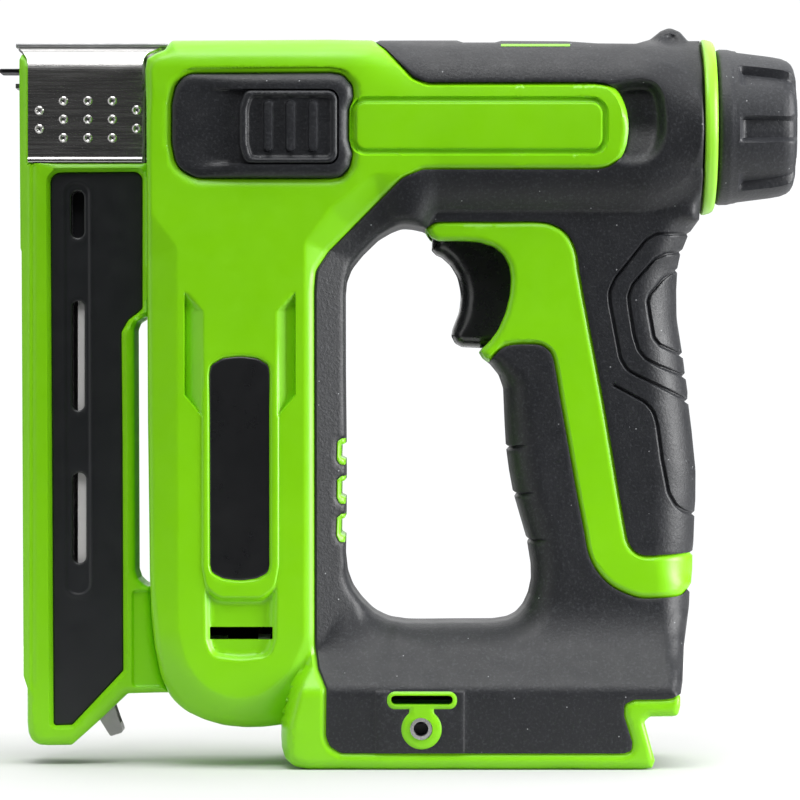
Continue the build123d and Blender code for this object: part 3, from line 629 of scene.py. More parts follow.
G2 = curve([
    (419, 233, 0), (425.2, 229.4, 0), (433, 223), (445, 221.5), (500, 221.5), (542, 221.6), (556, 225.3), (566, 232), (573, 242), (577.5, 255),
    (580, 273), (605.3, 409), (627.3, 537), (631, 546), (637, 552.3), (645, 555.2), (664, 554.6), (681, 553.3), (689.6, 552.2, 0), (712, 550, 0),
    (712, 591, 0), (687.2, 589.4, 0), (682.5, 594.4), (669, 597.6), (641, 598.6), (627, 594.5), (613, 587.5), (602, 578), (594, 567), (588, 553),
    (583.5, 529), (576.5, 493), (560.5, 402), (553.8, 362), (550.4, 353), (545, 347.8), (539, 345.2), (530, 344.5), (512, 345.2), (503, 348.2),
    (497, 353.6), (489.6, 361.6, 0), (484, 366, 0), (466, 366, 0), (466, 300, 0), (440, 246, 0), (419, 246, 0)])
TEE = np.array(
    [tuple(p) for p in ring([(409.0, 709.2, 0), (387, 709.2, 8), (387, 691.6, 8), (457.2, 691.6, 8), (457.2, 709.2, 8), (434.2, 709.2, 0)], closed=False)]
    + [(434.0, 711.0)]
    + [(421.6 + 20.3 * math.sin(t), 729.2 - 20.3 * math.cos(t)) for t in np.linspace(math.radians(40), math.radians(320), 60)]
    + [(409.2, 711.0)])
TEE_SLOT = ring([(391, 695.6, 4.3), (452.8, 695.6, 4.3), (452.8, 704.6, 4.3), (391, 704.6, 4.3)])
TEE_HOLE = circle(421.6, 729.2, 10.9)
LIPS = [ring([(352, 438), (341.4, 438.4, 3), (337.2, 442, 3), (336.8, 459.4, 3), (339.6, 464.4, 3), (352, 465)]),
        ring([(352, 475.6), (341.4, 476, 3), (337, 480, 3), (336.8, 498, 3), (339.6, 503.6, 3), (352, 504)]),
        ring([(352, 513.4), (341.4, 513.8, 3), (336.8, 518, 3), (336.4, 536, 3), (339.4, 542, 3), (352, 542.6)])]
VENT = ring([(209.8, 626.8, .8), (272.6, 626.8, .8), (272.6, 639.4, .8), (209.8, 639.4, .8)])
PADO = ring([
    (186, 73.4, 26), (330, 72.6, 8), (343, 74.6, 12), (352.4, 86, 10), (353.6, 97, 8), (348.6, 110, 8), (348.4, 126, 30),
    (348.6, 140, 8), (352.8, 154, 8), (349.6, 167.6, 9), (340.6, 177.2, 10), (330, 178.6, 8), (196, 178.6, 24), (176, 167, 22),
    (171.4, 143, 30), (171.4, 104, 30), (175.4, 86, 22)])
LABELO = ring([
    (208.8, 374, 6), (210.4, 364.6, 8), (222, 358, 18), (239.6, 355.6, 60), (257.6, 358, 18), (269, 364.6, 8), (270.2, 374, 6),
    (270.4, 565, 6), (269, 573.4, 8), (257.6, 579.4, 18), (240, 581.8, 60), (222.6, 579.4, 18), (211, 573.4, 8), (209.2, 565, 6)])
FACE = ring([
    (153, 68, 8), (520, 68, 8), (520, 172, 8), (372, 172, 20), (329, 207, 10), (303.5, 242, 16), (303, 640, 30), (289, 672, 40), (262, 694, 40),
    (236, 698.5, 50), (208, 689, 50), (188, 664, 50), (179, 628, 60), (178, 246, 16), (152.6, 213, 12)])
LPAD = ring([(201.6, 300), (279, 300), (279, 566, 20), (275, 588, 16), (262, 598.4, 16), (219, 598.4, 16), (205.6, 588, 16), (201.6, 566, 20)])
VREC = ring([(204.6, 566, 3), (276.8, 566, 3), (275.4, 640, 14), (270, 657, 16), (241, 660.4, 60), (211.6, 657, 16), (206, 640, 14)])
NOTCH = np.array([
    (686.6, 234), (678.8, 252), (675.0, 270.4), (679.0, 355.4), (681.8, 376.4), (684.4, 401.6), (691.4, 513.6), (689.6, 552.2), (687.2, 589.2),
    (679.2, 694.8), (531.4, 540.2), (518.4, 494.2), (510.8, 447.2)])
PANEL = ring([(356.5, 103, 9), (602, 103, 11), (602, 148.4, 11), (356.5, 148.4, 9)])
RECESS = curve([(590, 92, 0), (606, 84.6, 0), (626, 79.4, 0), (644, 78.5), (656, 82.5), (664, 94), (667.5, 113), (667, 136), (662, 152), (651, 163), (636, 167), (622, 166, 0), (612, 160, 0), (590, 158, 0)])
BULGE = curve([(400, 62, 0), (640, 60), (672, 66), (690, 79), (699, 98), (702, 118), (700, 145), (692, 168), (676, 186), (648, 196), (400, 197, 0)])
GROOVES = [
    ring([(690, 233.8), (656, 234, 12), (646, 240, 12), (615, 279, 12), (609.6, 292, 14), (610, 303, 30), (614, 324, 60), (620.4, 358, 16),
          (627, 369.6, 16), (637, 375.4, 30), (659, 386, 40), (690, 401.6)], closed=False),
    ring([(684, 251.6), (665, 254, 10), (655, 259, 12), (633, 284, 12), (628.6, 296, 14), (629.4, 306, 30), (634, 335, 40), (638.6, 350, 16),
          (646, 359, 16), (659, 366, 30), (688, 377.6)], closed=False),
    ring([(682, 270.6), (671, 273, 8), (663, 279, 10), (650, 294.4, 8), (647.6, 302, 8), (650, 317, 30), (653.6, 337.4, 8), (659.6, 345, 8),
          (685, 356.6)], closed=False),
    ring([(614.4, 385.4), (646, 402.6, 14), (653.6, 412, 16), (657.4, 425, 40), (662, 459, 60), (668.6, 493, 20), (676.4, 506.4, 18),
          (686, 512, 16), (698, 513.8)], closed=False)]
NICKS = [((506, 447.2), (528, 446.2)), ((513, 494.2), (536, 493.4)), ((526, 540.2), (547, 540.6))]

# half-width of the edge rounding, by place on the outline: (u, v, radius mm, share of the width left at the edge)
EDGE = np.array([
    (149, 150, .9, .94), (149, 300, .9, .94), (149, 400, .9, .94), (150, 550, .9, .94), (158, 660, 1.4, .90), (250, 40, 4, .78),
    (190, 40, 4, .78), (330, 40, 4, .78), (150, 60, 2, .9), (420, 41, 1.6, .85), (520, 42, 1, .9), (620, 42, 1, .9), (669, 28, 1.6, .5),
    (703, 80, .5, .98), (705, 126, .5, .98), (703, 180, .5, .98), (699, 215, 3.0, .74), (690, 231, 9, .42), (677, 300, 12, .30),
    (686, 385, 12, .30), (694, 450, 12, .30), (695, 500, 12, .30), (692, 560, 12, .32), (689, 600, 9.5, .44), (686.5, 625, 7.5, .57), (684, 650, 6, .68),
    (682, 680, 4, .78), (680, 705, 1.4, .94), (660, 716, 1.4, .94), (648, 745, 1.4, .94), (640, 769, 2.6, .90), (500, 769, 2.6, .90),
    (400, 769, 2.6, .90), (300, 768, 2.6, .89), (281, 740, 2.5, .85), (250, 727, 3.6, .74), (190, 712, 3.0, .80),
    (345, 290, .8, .95), (345, 350, .8, .95), (345, 400, .8, .95), (345, 480, .8, .95), (345, 550, 1.0, .94), (354, 592, 2.6, .84),
    (380, 616, 6, .66), (440, 622, 8, .58), (500, 620, 8, .55), (528, 600, 9, .5), (532, 570, 9, .5), (520, 510, 9, .5),
    (507, 440, 9, .5), (504, 390, 8, .5), (495, 368, 5, .6), (484, 356, 1.6, .9), (482, 349, 1.2, .92), (500, 327, 1.6, .93),
    (511, 285, 1.6, .93), (505, 255, 1.6, .93), (480, 242, 1.6, .93), (440, 240, 1.6, .93), (426, 230, 1.6, .9), (412, 225, 3.5, .78),
    (380, 236, 2.4, .87), (360, 254, 1.8, .9)])


def smin(a, b, k):
    return -smax(-a, -b, k)


def chamfer(d, w):
    """1 at the seam falling in a straight line to 0 at w, the crease a little rounded"""
    c = np.clip(1 - d / w, 0, 1)
    return np.where(c < 0.24, c * c / 0.48, c - 0.12) / 0.88


def body_height(P):
    """half width of the housing before seams, mm"""
    u, v = P[:, 0], P[:, 1]
    dF = np.maximum(0, -signed(P, FACE, 700.0)) * PX
    soft = np.sqrt(dF * dF + 0.25) - 0.5
    R = 10.6
    over = R * (1 - np.sqrt(1 - np.clip(dF / R, 0, 0.99) ** 2))
    wt = 1 - sm(v, 58, 110)
    low = sm(v, 630, 700)
    left = over * wt + (0.19 * soft + 0.050 * low * dF * dF) * (1 - wt)
    right = 0.47 * soft
    wr = sm(u, 240, 290) * (1 - sm(v, 640, 700)) * sm(v, 90, 150)
    col = 25.0 - (left * (1 - wr) + right * wr)
    half = np.where(v > 127.0, 87.2 + 75 * (1 - sm(u, 395, 440)), 87.2)
    t = np.clip(np.abs(v - 127.0) / half, 0, 1)
    n = 3.3 - 1.3 * sm(u, 640, 699)
    bar = 24.6 * np.power(np.clip(1 - np.power(t, n), 0, 1), 1 / n)
    wb = sm(u, 345, 440)
    top = np.where(v > 420, col, col * (1 - wb) + bar * wb)
    out = np.maximum(0, -signed(P, BULGE)) * PX
    top = top - 0.30 * out * sm(u, 630, 662) * (v < 212)
    grip = 17.6 - 60 * (1 - sm(u, 330, 400)) - 80 * (1 - sm(v, 120, 175))
    k = (v - 598.0) / (689.0 - 598.0)
    slope = smin(12.0 + 19.2 * k, 31.3 - 0.3 * np.clip((v - 690) / 80, 0, 1), 1.7)
    ul = np.interp(v, [560, 600, 640, 654, 664, 681, 724, 770], [235, 250, 280, 300, 302, 293, 281.5, 279])
    dl = np.clip((u - ul) * PX / 3.6, 0, 1)
    base = np.where(v < 560, -40.0, slope * (0.62 + 0.38 * np.sqrt(1 - (1 - dl) ** 2)) - 40 * (u < ul))
    hump = 9.5 * np.sqrt(np.clip(1 - ((u - 669) / 31) ** 2 - ((v - 57) / 31) ** 2, 0, 1))
    h = smax(top, grip, 8.0)
    h = smax(h, hump - 10 * (hump <= 0), 2.0)
    h = smax(h, base, 1.6 + 5.4 * sm(u, 317, 345))
    h = np.maximum(h, 3.0)
    h = h - 2.9 * np.exp(-(((u - 671.5) / 8.0) ** 2 + ((v - 38.5) / 5.5) ** 2))
    return h


def plain_edge(poly):
    """the outline without its small notches"""
    d = np.sqrt(((poly[:, None, :] - NOTCH[None]) ** 2).sum(2)).min(1)
    return poly[d > 0.6]


BODY_E, HOLE_E = plain_edge(BODY), plain_edge(HOLE)


def edge_round(P, h):
    d = np.minimum(dist(P, BODY_E), dist(P, HOLE_E)) * PX
    w = 1.0 / (((P[:, None, :] - EDGE[None, :, :2]) ** 2).sum(2) + 30.0) ** 2
    w = w / w.sum(1)[:, None]
    R, f = w @ EDGE[:, 2], w @ EDGE[:, 3]
    q = np.sqrt(1 - (1 - np.clip(d / R, 0, 1)) ** 2)
    return h * (f + (1 - f) * q)


def scallop(P, m):
    u = P[:, 0] if not m else 479.8 - P[:, 0]
    v = P[:, 1]
    top = (v - 291.0 - (u - 184.0) * 1.05) / 14.0
    ramp = np.clip(np.minimum((203.6 - u) / 19.8, top), 0, 1)
    wall = np.minimum(u - 183.8, (395.0 + (u - 183.8) * 1.236 - v) / 1.59)
    return 2.6 * ramp * sm(wall, 0, 1.4)


def base_height(P):
    return edge_round(P, body_height(P))


def green_height(P):
    h = base_height(P)
    u, v = P[:, 0], P[:, 1]
    s1, s2 = signed(P, G1), signed(P, G2)
    st = signed(P, TEE)
    sl = np.max([signed(P, l) for l in LIPS], 0)
    wa = sm(u, 345, 420) * (1 - sm(v, 200, 240))
    wb = sm(v, 630, 660)
    rise = -0.05 * wa - 0.10 * wb
    up = 1 - sm(v, 96, 130)
    deep = 0.9 * (1 - wa - wb) + (0.95 + 1.35 * up) * wa + 0.75 * wb
    wide = 4.4 * (1 - wa - wb) + (4.0 + 0.8 * up) * wa + 5.6 * wb
    h1 = h + rise - deep * chamfer(s1, wide)
    h2 = h - 0.02 - 1.30 * chamfer(s2, 4.4)
    ht = h + 0.40 - 0.35 * (1 - sm(st, 0, 2.2))
    hl = h + 0.15 - 0.3 * (1 - sm(sl, 0, 1.5))
    out = np.where(s1 >= -0.05, h1, np.where(s2 >= -0.05, h2, np.where(st >= -0.05, ht, hl)))
    # pad pocket, plate seat, scallops, plate land, louvre recess, arm panel
    sp = signed(P, PADO)
    out = out - 1.9 * sm(sp, -0.6, 0.8) - 0.35 * sm(sp, -2.2, -0.6) - 0.50 * sm(sp, -6.0, -4.4)
    out = out - 0.55 * sm(signed(P, LABELO), -1.1, 0.2)
    out = out - scallop(P, False) - scallop(P, True)
    lp = signed(P, LPAD)
    out = out + 0.36 * sm(lp, 0, 1.6) * sm(v, 330, 417)
    out = out - 1.7 * sm(signed(P, VREC), -1.5, 6.5) * (1 - sm(lp, -4.0, 0.6))
    sa = signed(P, PANEL)
    groove = sm(sa, -6.8, -5.0) * (1 - sm(sa, -1.4, 0.4))
    out = out - 0.95 * groove
    return out


def black_height(P):
    h = base_height(P)
    u, v = P[:, 0], P[:, 1]
    s = np.maximum(signed(P, G1), signed(P, G2))
    s = np.maximum(s, signed(P, TEE))
    s = np.maximum(s, np.max([signed(P, l) for l in LIPS], 0))
    h = h - (0.45 - 0.28 * sm(u, 345, 420)) * (1 - sm(-s, 0, 2.0))
    for g in GROOVES:
        lo, hi = g.min(0) - 8, g.max(0) + 8
        m = ((P >= lo) & (P <= hi)).all(1)
        if m.any():
            d = dist(P[m], g, False)
            h[m] -= 1.0 * (1 - sm(d, 0.5, 2.1))
    for a, b in NICKS:
        g = np.array([a, b], float)
        m = ((P >= g.min(0) - 8) & (P <= g.max(0) + 8)).all(1)
        if m.any():
            d = dist(P[m], g, False)
            fade = 1 - np.clip((P[m, 0] - a[0]) / (b[0] - a[0]), 0, 1)
            dv = P[m, 1] - (a[1] + (b[1] - a[1]) * (P[m, 0] - a[0]) / (b[0] - a[0]))
            h[m] -= 2.3 * fade * sm(dv, -1.4, -0.2) * (1 - np.clip((dv + 0.2) / 4.2, 0, 1))
    h = h - 4.3 * sm(signed(P, RECESS), -1.0, 12.5) * (1 - 0.72 * sm(v, 122, 166))
    sub = np.minimum(np.minimum(u - 375.5, 464.0 - u), v - 691.5)
    h = h + 0.28 * sm(sub, -0.8, 0.8) * sm(v, 688, 692)
    return h


def keep_body(p):
    return inside(p, BODY) & ~inside(p, HOLE)


SCREWS = [(170, 262), (328, 243), (246, 704), (655, 200), (640, 500), (640, 234), (655, 672), (335, 668)]
SIDE_OFFS = (0.7, 1.7, 3.0, 4.8, 7.2, 10.4, 14.5, 19.5)
SEAM_OFFS = (0.8, 1.9, 3.2, 5.0, 7.2)


def mouth_yb(P, h):
    """where the side walls end: at the middle plane, or short of the trigger mouth, battery bay and knob end"""
    u, v = P[:, 0], P[:, 1]
    dB, dH = dist(P, BODY), dist(P, HOLE)
    edge = np.minimum(dB, dH) < 0.12
    yb = np.where(edge, 0.08, h - 2.2)
    mouth = (dH < 0.12) & (u > 427) & (u < 513) & (v > 233) & (v < 350)
    yb = np.where(mouth, 9.4, yb)
    # gap for the driver blade in the front wall
    blade = (dB < 0.12) & (u < 165) & (v > 66) & (v < 108)
    yb = np.where(blade, 6.2, yb)
    bay = (dB < 0.12) & (v > 766) & (u > 310)
    bay |= (dB < 0.12) & (v > 717.5) & (u > 640)
    yb = np.where(bay, 26.2, yb)
    rear = (dB < 0.12) & (u > 699.3) & (v < 214)
    yb = np.where(rear, np.minimum(h - 2.4, 14.0), yb)
    return yb


def deep_yb(P, h):
    yb = mouth_yb(P, h)
    for c in HOLES_RIGHT:
        yb = np.where(dist(P, c) < 0.12, h - 7.0, yb)
    yb = np.where(dist(P, TEE_SLOT) < 0.12, h - 5.5, yb)
    yb = np.where(dist(P, TEE_HOLE) < 0.12, h - 6.0, yb)
    return yb


HOLES_RIGHT = []
# slot under the thumb slide for its stem, over the slide's whole travel
STEM = ring([(246.0, 107.0, 2), (302.4, 107.0, 2), (302.4, 143.8, 2), (246.0, 143.8, 2)])


def build_body(right):
    global HOLES_RIGHT
    HOLES_RIGHT = []
    if right:
        for u, v in SCREWS:
            k = VIEW / (VIEW - float(base_height(np.array([(u, v)], float))[0]))
            HOLES_RIGHT.append(circle(400 + (u - 400) * k, 400 + (v - 400) * k, 12.4, 40))
    edges = [(BODY, SIDE_OFFS), (HOLE, SIDE_OFFS), (G1, SEAM_OFFS), (G2, SEAM_OFFS), (TEE, (0.8, 1.8)), (TEE_SLOT, (0.9,)),
             (TEE_HOLE, (0.9,)), (STEM, (0.9,)), (VENT, (0.9, 2.0))] + [(l, (0.9,)) for l in LIPS] + [(c, (0.8, 2.0)) for c in HOLES_RIGHT]
    lines = [(PADO, (0.0, 0.8, 1.6, 3.6, 5.6), True), (LABELO, (0.0, 0.7, 1.5), True), (LPAD, (0.0, 0.8, 1.7, 3.0, 4.4), True),
             (VREC, (0.0, 1.4, 3.0, 5.0), True), (PANEL, (0.0, 1.0, 2.0, 4.0, 5.4, 7.2), True), (RECESS, (0.0, 2.0, 4.0, 6.0, 8.0, 10.0, 12.5), True), (BULGE, (0.0, 1.5), True),
             (FACE, (0.0, 1.5, 3.5), True)]
    for m in (0, 1):
        w = [(183.8, 290), (183.8, 395), (201.6, 417)]
        w = np.array([(479.8 - a, b) if m else (a, b) for a, b in w], float)
        lines.append((w, (0.0, 0.7, 1.5, 2.6), False))
    for g in GROOVES:
        lines.append((g, (0.0, 0.8, 1.6, 2.5, 3.6), False))
    for a, b in NICKS:
        lines.append((np.array([a, b], float), (0.0, 0.8, 1.7, 2.7, 4.0), False))
    lines.append((np.array([(375.5, 690), (375.5, 753)], float), (0.0, 0.8), False))
    lines.append((np.array([(464.0, 690), (464.0, 753)], float), (0.0, 0.8), False))
    lines.append((np.array([(300, 689), (684, 689)], float), (0.0, 0.9, 2.2, 4.0), False))
    V, F = area(edges, lines, (140, 20, 710, 775), 3.3, keep_body)
    cen = V[F].mean(1)
    okf = keep_body(cen) & ~inside(cen, VENT) & ~inside(cen, STEM) & ~inside(cen, TEE_SLOT) & ~inside(cen, TEE_HOLE)
    for c in HOLES_RIGHT:
        okf &= ~inside(cen, c)
    green = inside(cen, G1) | inside(cen, G2) | inside(cen, TEE)
    for l in LIPS:
        green |= inside(cen, l)
    side = "right" if right else "left"
    for what, sel, fun, mat, node, slot in (
            ("housing", okf & green, green_height, GREEN, side + "_housing", "green_plastic"),
            ("overmould", okf & ~green, black_height, SOFT, side + "_overmould", "soft_black")):
        vv, ff = shell(V, F[sel], fun, deep_yb, 2.2, 9)
        ob = mesh_object("%s_%s_skin" % (what, side), vv, ff, mat, 38.0, mirror=right)
        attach(ob, "housing")
        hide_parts(node)


build_body(False)
build_body(True)

# ------------------------------------------------------------------ shared shapes
BODY_OF = {}
for b, members in frame["record"]["behaviour"]["bodies"].items():
    for n in members:
        BODY_OF[n] = b


def fit(ob, body, slot, *replaced):
    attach(ob, body)
    if replaced:
        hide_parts(*replaced)
    return ob


def plate(outline, hfun, back, offs, grid, lines=(), holes=(), yb=None, rows=4):
    """closed slab: shaped face at half width h, flat back"""
    lo, hi = outline.min(0), outline.max(0)
    keep = lambda p: inside(p, outline)
    V, F = area([(outline, offs)] + [(h, (0.9,)) for h in holes], list(lines), (lo[0], lo[1], hi[0], hi[1]), grid, keep)
    c = V[F].mean(1)
    ok = inside(c, outline)
    for h in holes:
        ok &= ~inside(c, h)
    return shell(V, F[ok], hfun, yb or (lambda P, h: np.full(len(P), back)), 1.0, rows, back=back)


def both(outline, hfun, offs, grid, lines=(), rows=8):
    """closed solid, alike on both sides of the middle plane"""
    lo, hi = outline.min(0), outline.max(0)
    V, F = area([(outline, offs)], list(lines), (lo[0], lo[1], hi[0], hi[1]), grid, lambda p: inside(p, outline))
    F = F[inside(V[F].mean(1), outline)]
    P3 = V[F]
    e1, e2 = P3[:, 1] - P3[:, 0], P3[:, 2] - P3[:, 0]
    flip = (e1[:, 0] * e2[:, 1] - e1[:, 1] * e2[:, 0]) > 0
    F[flip] = F[flip][:, [0, 2, 1]]
    ids = np.unique(F)
    idx = -np.ones(len(V), int)
    idx[ids] = np.arange(len(ids))
    P, T = V[ids], idx[F]
    h = hfun(P)
    a = place(P, h)
    b = a * np.array([1, -1, 1])
    n = len(a)
    vs = [a, b]
    faces = [tuple(f) for f in T] + [tuple(n + i for i in f[::-1]) for f in T]
    base = 2 * n
    for loop in loops_of(T):
        loop = np.array(loop)
        m = len(loop)
        prev = loop
        for k in range(1, rows + 1):
            if k < rows:
                w = a[loop].copy()
                w[:, 1] *= 1 - 2 * k / rows
                vs.append(w)
                cur = np.arange(base, base + m)
                base += m
            else:
                cur = n + loop
            for i in range(m):
                j = (i + 1) % m
                faces.append((prev[j], prev[i], cur[i], cur[j]))
            prev = cur
    return np.vstack(vs), faces


def lathe(section, n, centre, axis, mod=None, a0=0.0):
    """closed section of (along, radius) turned about an axis through centre (mm)"""
    m = len(section)
    vs, fs = [], []
    for k in range(n):
        t = 2 * math.pi * k / n + a0
        c, s_ = math.cos(t), math.sin(t)
        for (x, r) in section:
            if mod is not None:
                r = mod(x, r, t)
            if axis == "x":
                vs.append((centre[0] + x, centre[1] + r * c, centre[2] + r * s_))
            else:
                vs.append((centre[0] + r * c, centre[1] + x, centre[2] - r * s_))
    for k in range(n):
        for i in range(m):
            j = (i + 1) % m
            k2 = (k + 1) % n
            fs.append((k * m + i, k * m + j, k2 * m + j, k2 * m + i))
    return np.array(vs), fs


def densify(sec, step):
    return [tuple(p) for p in split(np.array(sec, float), step)]


def oriented(V, F):
    """faces turned outward (the enclosed volume is positive)"""
    V = np.asarray(V, float)
    vol = 0.0
    for f in F:
        a = V[f[0]]
        for i in range(1, len(f) - 1):
            vol += np.dot(a, np.cross(V[f[i]], V[f[i + 1]]))
    return F if vol > 0 else [tuple(f)[::-1] for f in F]


def coil(p0, p1, radius, wire, turns, per=22, seg=8):
    """round wire wound about the line p0-p1, with closed ends"""
    p0, p1 = np.array(p0, float), np.array(p1, float)
    ax = (p1 - p0) / np.linalg.norm(p1 - p0)
    e1 = np.cross(ax, (0.0, 1.0, 0.0) if abs(ax[1]) < 0.9 else (1.0, 0.0, 0.0))
    e1 /= np.linalg.norm(e1)
    e2 = np.cross(ax, e1)
    n = int(turns * per)
    L = np.linalg.norm(p1 - p0)
    vs, fs, centres = [], [], []
    for i in range(n + 1):
        t = 2 * math.pi * turns * i / n
        q = i / n
        k = min(1.0, turns * q / 1.0) * 0.5 + 0.5 if turns * q < 1 else (0.5 + 0.5 * min(1.0, turns * (1 - q)) if turns * (1 - q) < 1 else 1.0)
        z = wire + (L - 2 * wire) * q
        centres.append((p0 + ax * z + radius * (math.cos(t) * e1 + math.sin(t) * e2), math.cos(t) * e1 + math.sin(t) * e2))
    for c, out in centres:
        for j in range(seg):
            a = 2 * math.pi * j / seg
            vs.append(c + wire * (math.cos(a) * out + math.sin(a) * ax))
    for i in range(n):
        for j in range(seg):
            k = (j + 1) % seg
            fs.append((i * seg + j, i * seg + k, (i + 1) * seg + k, (i + 1) * seg + j))
    fs.append(tuple(range(seg))[::-1])
    fs.append(tuple(n * seg + j for j in range(seg)))
    return np.array(vs), oriented(vs, fs)


def coil_length(vs, i0, i1, seg=8):
    """the rings i0 to i1 of a coil as a closed piece"""
    n = i1 - i0
    vs = vs[i0 * seg:(i1 + 1) * seg]
    fs = [(i * seg + j, i * seg + (j + 1) % seg, (i + 1) * seg + (j + 1) % seg, (i + 1) * seg + j) for i in range(n) for j in range(seg)]
    fs += [tuple(range(seg))[::-1], tuple(n * seg + j for j in range(seg))]
    return vs, oriented(vs, fs)


def sweep_x(poly, x0, x1, steps=1):
    """closed prism along x of an outline in (y, z)"""
    poly = np.array(poly, float)
    n = len(poly)
    vs = [np.column_stack([np.full(n, x0 + (x1 - x0) * k / steps), poly]) for k in range(steps + 1)]
    fs = []
    for k in range(steps):
        for i in range(n):
            j = (i + 1) % n
            fs.append((k * n + i, k * n + j, (k + 1) * n + j, (k + 1) * n + i))
    V2, _, F2, ov, *_ = delaunay_2d_cdt([Vector(p) for p in poly], [(i, (i + 1) % n) for i in range(n)], [], 1, 1e-6)
    back = [o[0] for o in ov]
    for f in F2:
        f = [back[i] for i in f]
        fs.append(tuple(f)[::-1])
        fs.append(tuple(steps * n + i for i in f))
    # cap winding follows the outline's own sense
    s_ = 0.5 * sum(poly[i][0] * poly[(i + 1) % n][1] - poly[(i + 1) % n][0] * poly[i][1] for i in range(n))
    if s_ < 0:
        side = [f[::-1] for f in fs[:steps * n]]
        fs = side + fs[steps * n:]
    return np.vstack(vs), fs


def joined(*parts):
    vs, fs, o = [], [], 0
    for v, f in parts:
        vs.append(np.asarray(v, float))
        fs += [tuple(int(i) + o for i in g) for g in f]
        o += len(v)
    return np.vstack(vs), fs


# ------------------------------------------------------------------ magazine
MAGO = ring([
    (19.4, 60, 2), (19.3, 83), (20.4, 248), (21.5, 251.5), (23.5, 676, .6), (27.5, 688, 2), (27.5, 722, 40), (28.6, 733, 14), (32.4, 740.6, 12), (39, 744.6, 14), (48, 745.2, 30),
    (72, 744.8, 4), (101, 719), (121, 700, 6), (128, 693.4, 4), (160, 692.5), (169.4, 692.5), (161.8, 676), (155.3, 645),
    (152.0, 610), (150.5, 585.8), (148, 586.1), (143.4, 584, 5), (138, 578.6, 5), (135.5, 571, 4), (134.5, 329, 6), (137, 322.4, 5),
    (144, 317.7, 3), (148.2, 317), (147.5, 200), (147.2, 163.2), (33, 163.2, 1), (30.6, 160, 1), (30.4, 80), (30.4, 62, 3), (29.6, 54.4, 2), (21.8, 54.6, 2)])
INLAY = ring([
    (50.4, 172.4, 11), (142.6, 171.8, 9), (142.6, 309, 5), (128.4, 320.2, 12), (121.6, 332, 9), (121.6, 345, 8), (122.6, 440, 60),
    (123.4, 670.6, 4), (72.4, 724.8, 2.5), (53.6, 725.4, 3)])
SIGHTS = [ring([(71.2, 191, 6.4), (84.2, 191, 6.4), (84.2, 238, 6.4), (71.2, 238, 6.4)]),
          ring([(72.3, 301, 6), (84.6, 301, 6), (84.6, 410.6, 6), (72.3, 410.6, 6)]),
          ring([(72.7, 472.7, 6.6), (86.3, 472.7, 6.6), (86.3, 563, 6.6), (72.7, 563, 6.6)])]
BAND = ring([(65.2, 183, 11), (89.0, 183, 11), (90.4, 594, 11), (66.6, 594, 11)])
WEB = ring([(131.5, 590, 4), (230, 588), (230, 687.5), (131.5, 687.5, 5)])


def mag_height(P):
    u, v = P[:, 0], P[:, 1]
    d = dist(P, MAGO) * PX
    h = np.full(len(P), 13.0)
    lip = np.clip((31.0 - u) / 11.5, 0, 1.1)
    h -= 3.4 * lip ** 1.35
    h -= 0.45 * np.exp(-((u - 32.4) / 2.4) ** 2) * sm(v, 160, 168) * (1 - sm(v, 680, 700))
    q = np.sqrt(1 - (1 - np.clip(d / 1.8, 0, 1)) ** 2)
    wgt = np.maximum(sm(u, 34, 60), sm(v, 690, 705)) * np.where(v < 300, 0.45, 1.0)
    h *= 1 - 0.17 * wgt * (1 - q)
    h -= 0.85 * sm(signed(P, WEB), -0.5, 2.6)
    s = -signed(P, INLAY)
    h -= 1.9 * chamfer(s, 4.8)
    # under the guard's bend the lip stays inside it
    zz = np.clip(((400 - v) * PX + ZOFF - 191.9) / 7.4, 0, 0.98)
    h = np.where((v < 164) & (u < 34), np.minimum(h, 4.3 + 7.4 * np.sqrt(1 - zz * zz)), h)
    return h


def panel_height(P):
    s = signed(P, INLAY)
    h = 11.3 - 0.40 * (1 - sm(s, 0, 1.8))
    b = signed(P, BAND)
    h -= 0.26 * sm(b, -0.8, 1.6)
    h += 0.10 * sm(b, -3.8, -2.2) * (1 - sm(b, -2.2, -0.6))
    for g in SIGHTS:
        h -= 0.30 * (1 - sm(np.abs(signed(P, g)), 0, 1.4))
        h -= 1.1 * sm(signed(P, g), -0.1, 0.9)
    return h


def mag_yb(P, h):
    u, v = P[:, 0], P[:, 1]
    edge = dist(P, MAGO) < 0.12
    yb = np.where(edge, 0.08, h - 1.8)
    yb = np.where(edge & (v > 693.8) & (u > 33) & (u < 129), 7.6, yb)
    yb = np.where(edge & (v < 165) & (u > 30.9), 7.6, yb)
    yb = np.where(edge & (v > 63.0) & (v < 95.6) & (u < 31), 6.6, yb)
    for g in SIGHTS:
        yb = np.where(dist(P, g) < 0.12, 7.7, yb)
    return yb


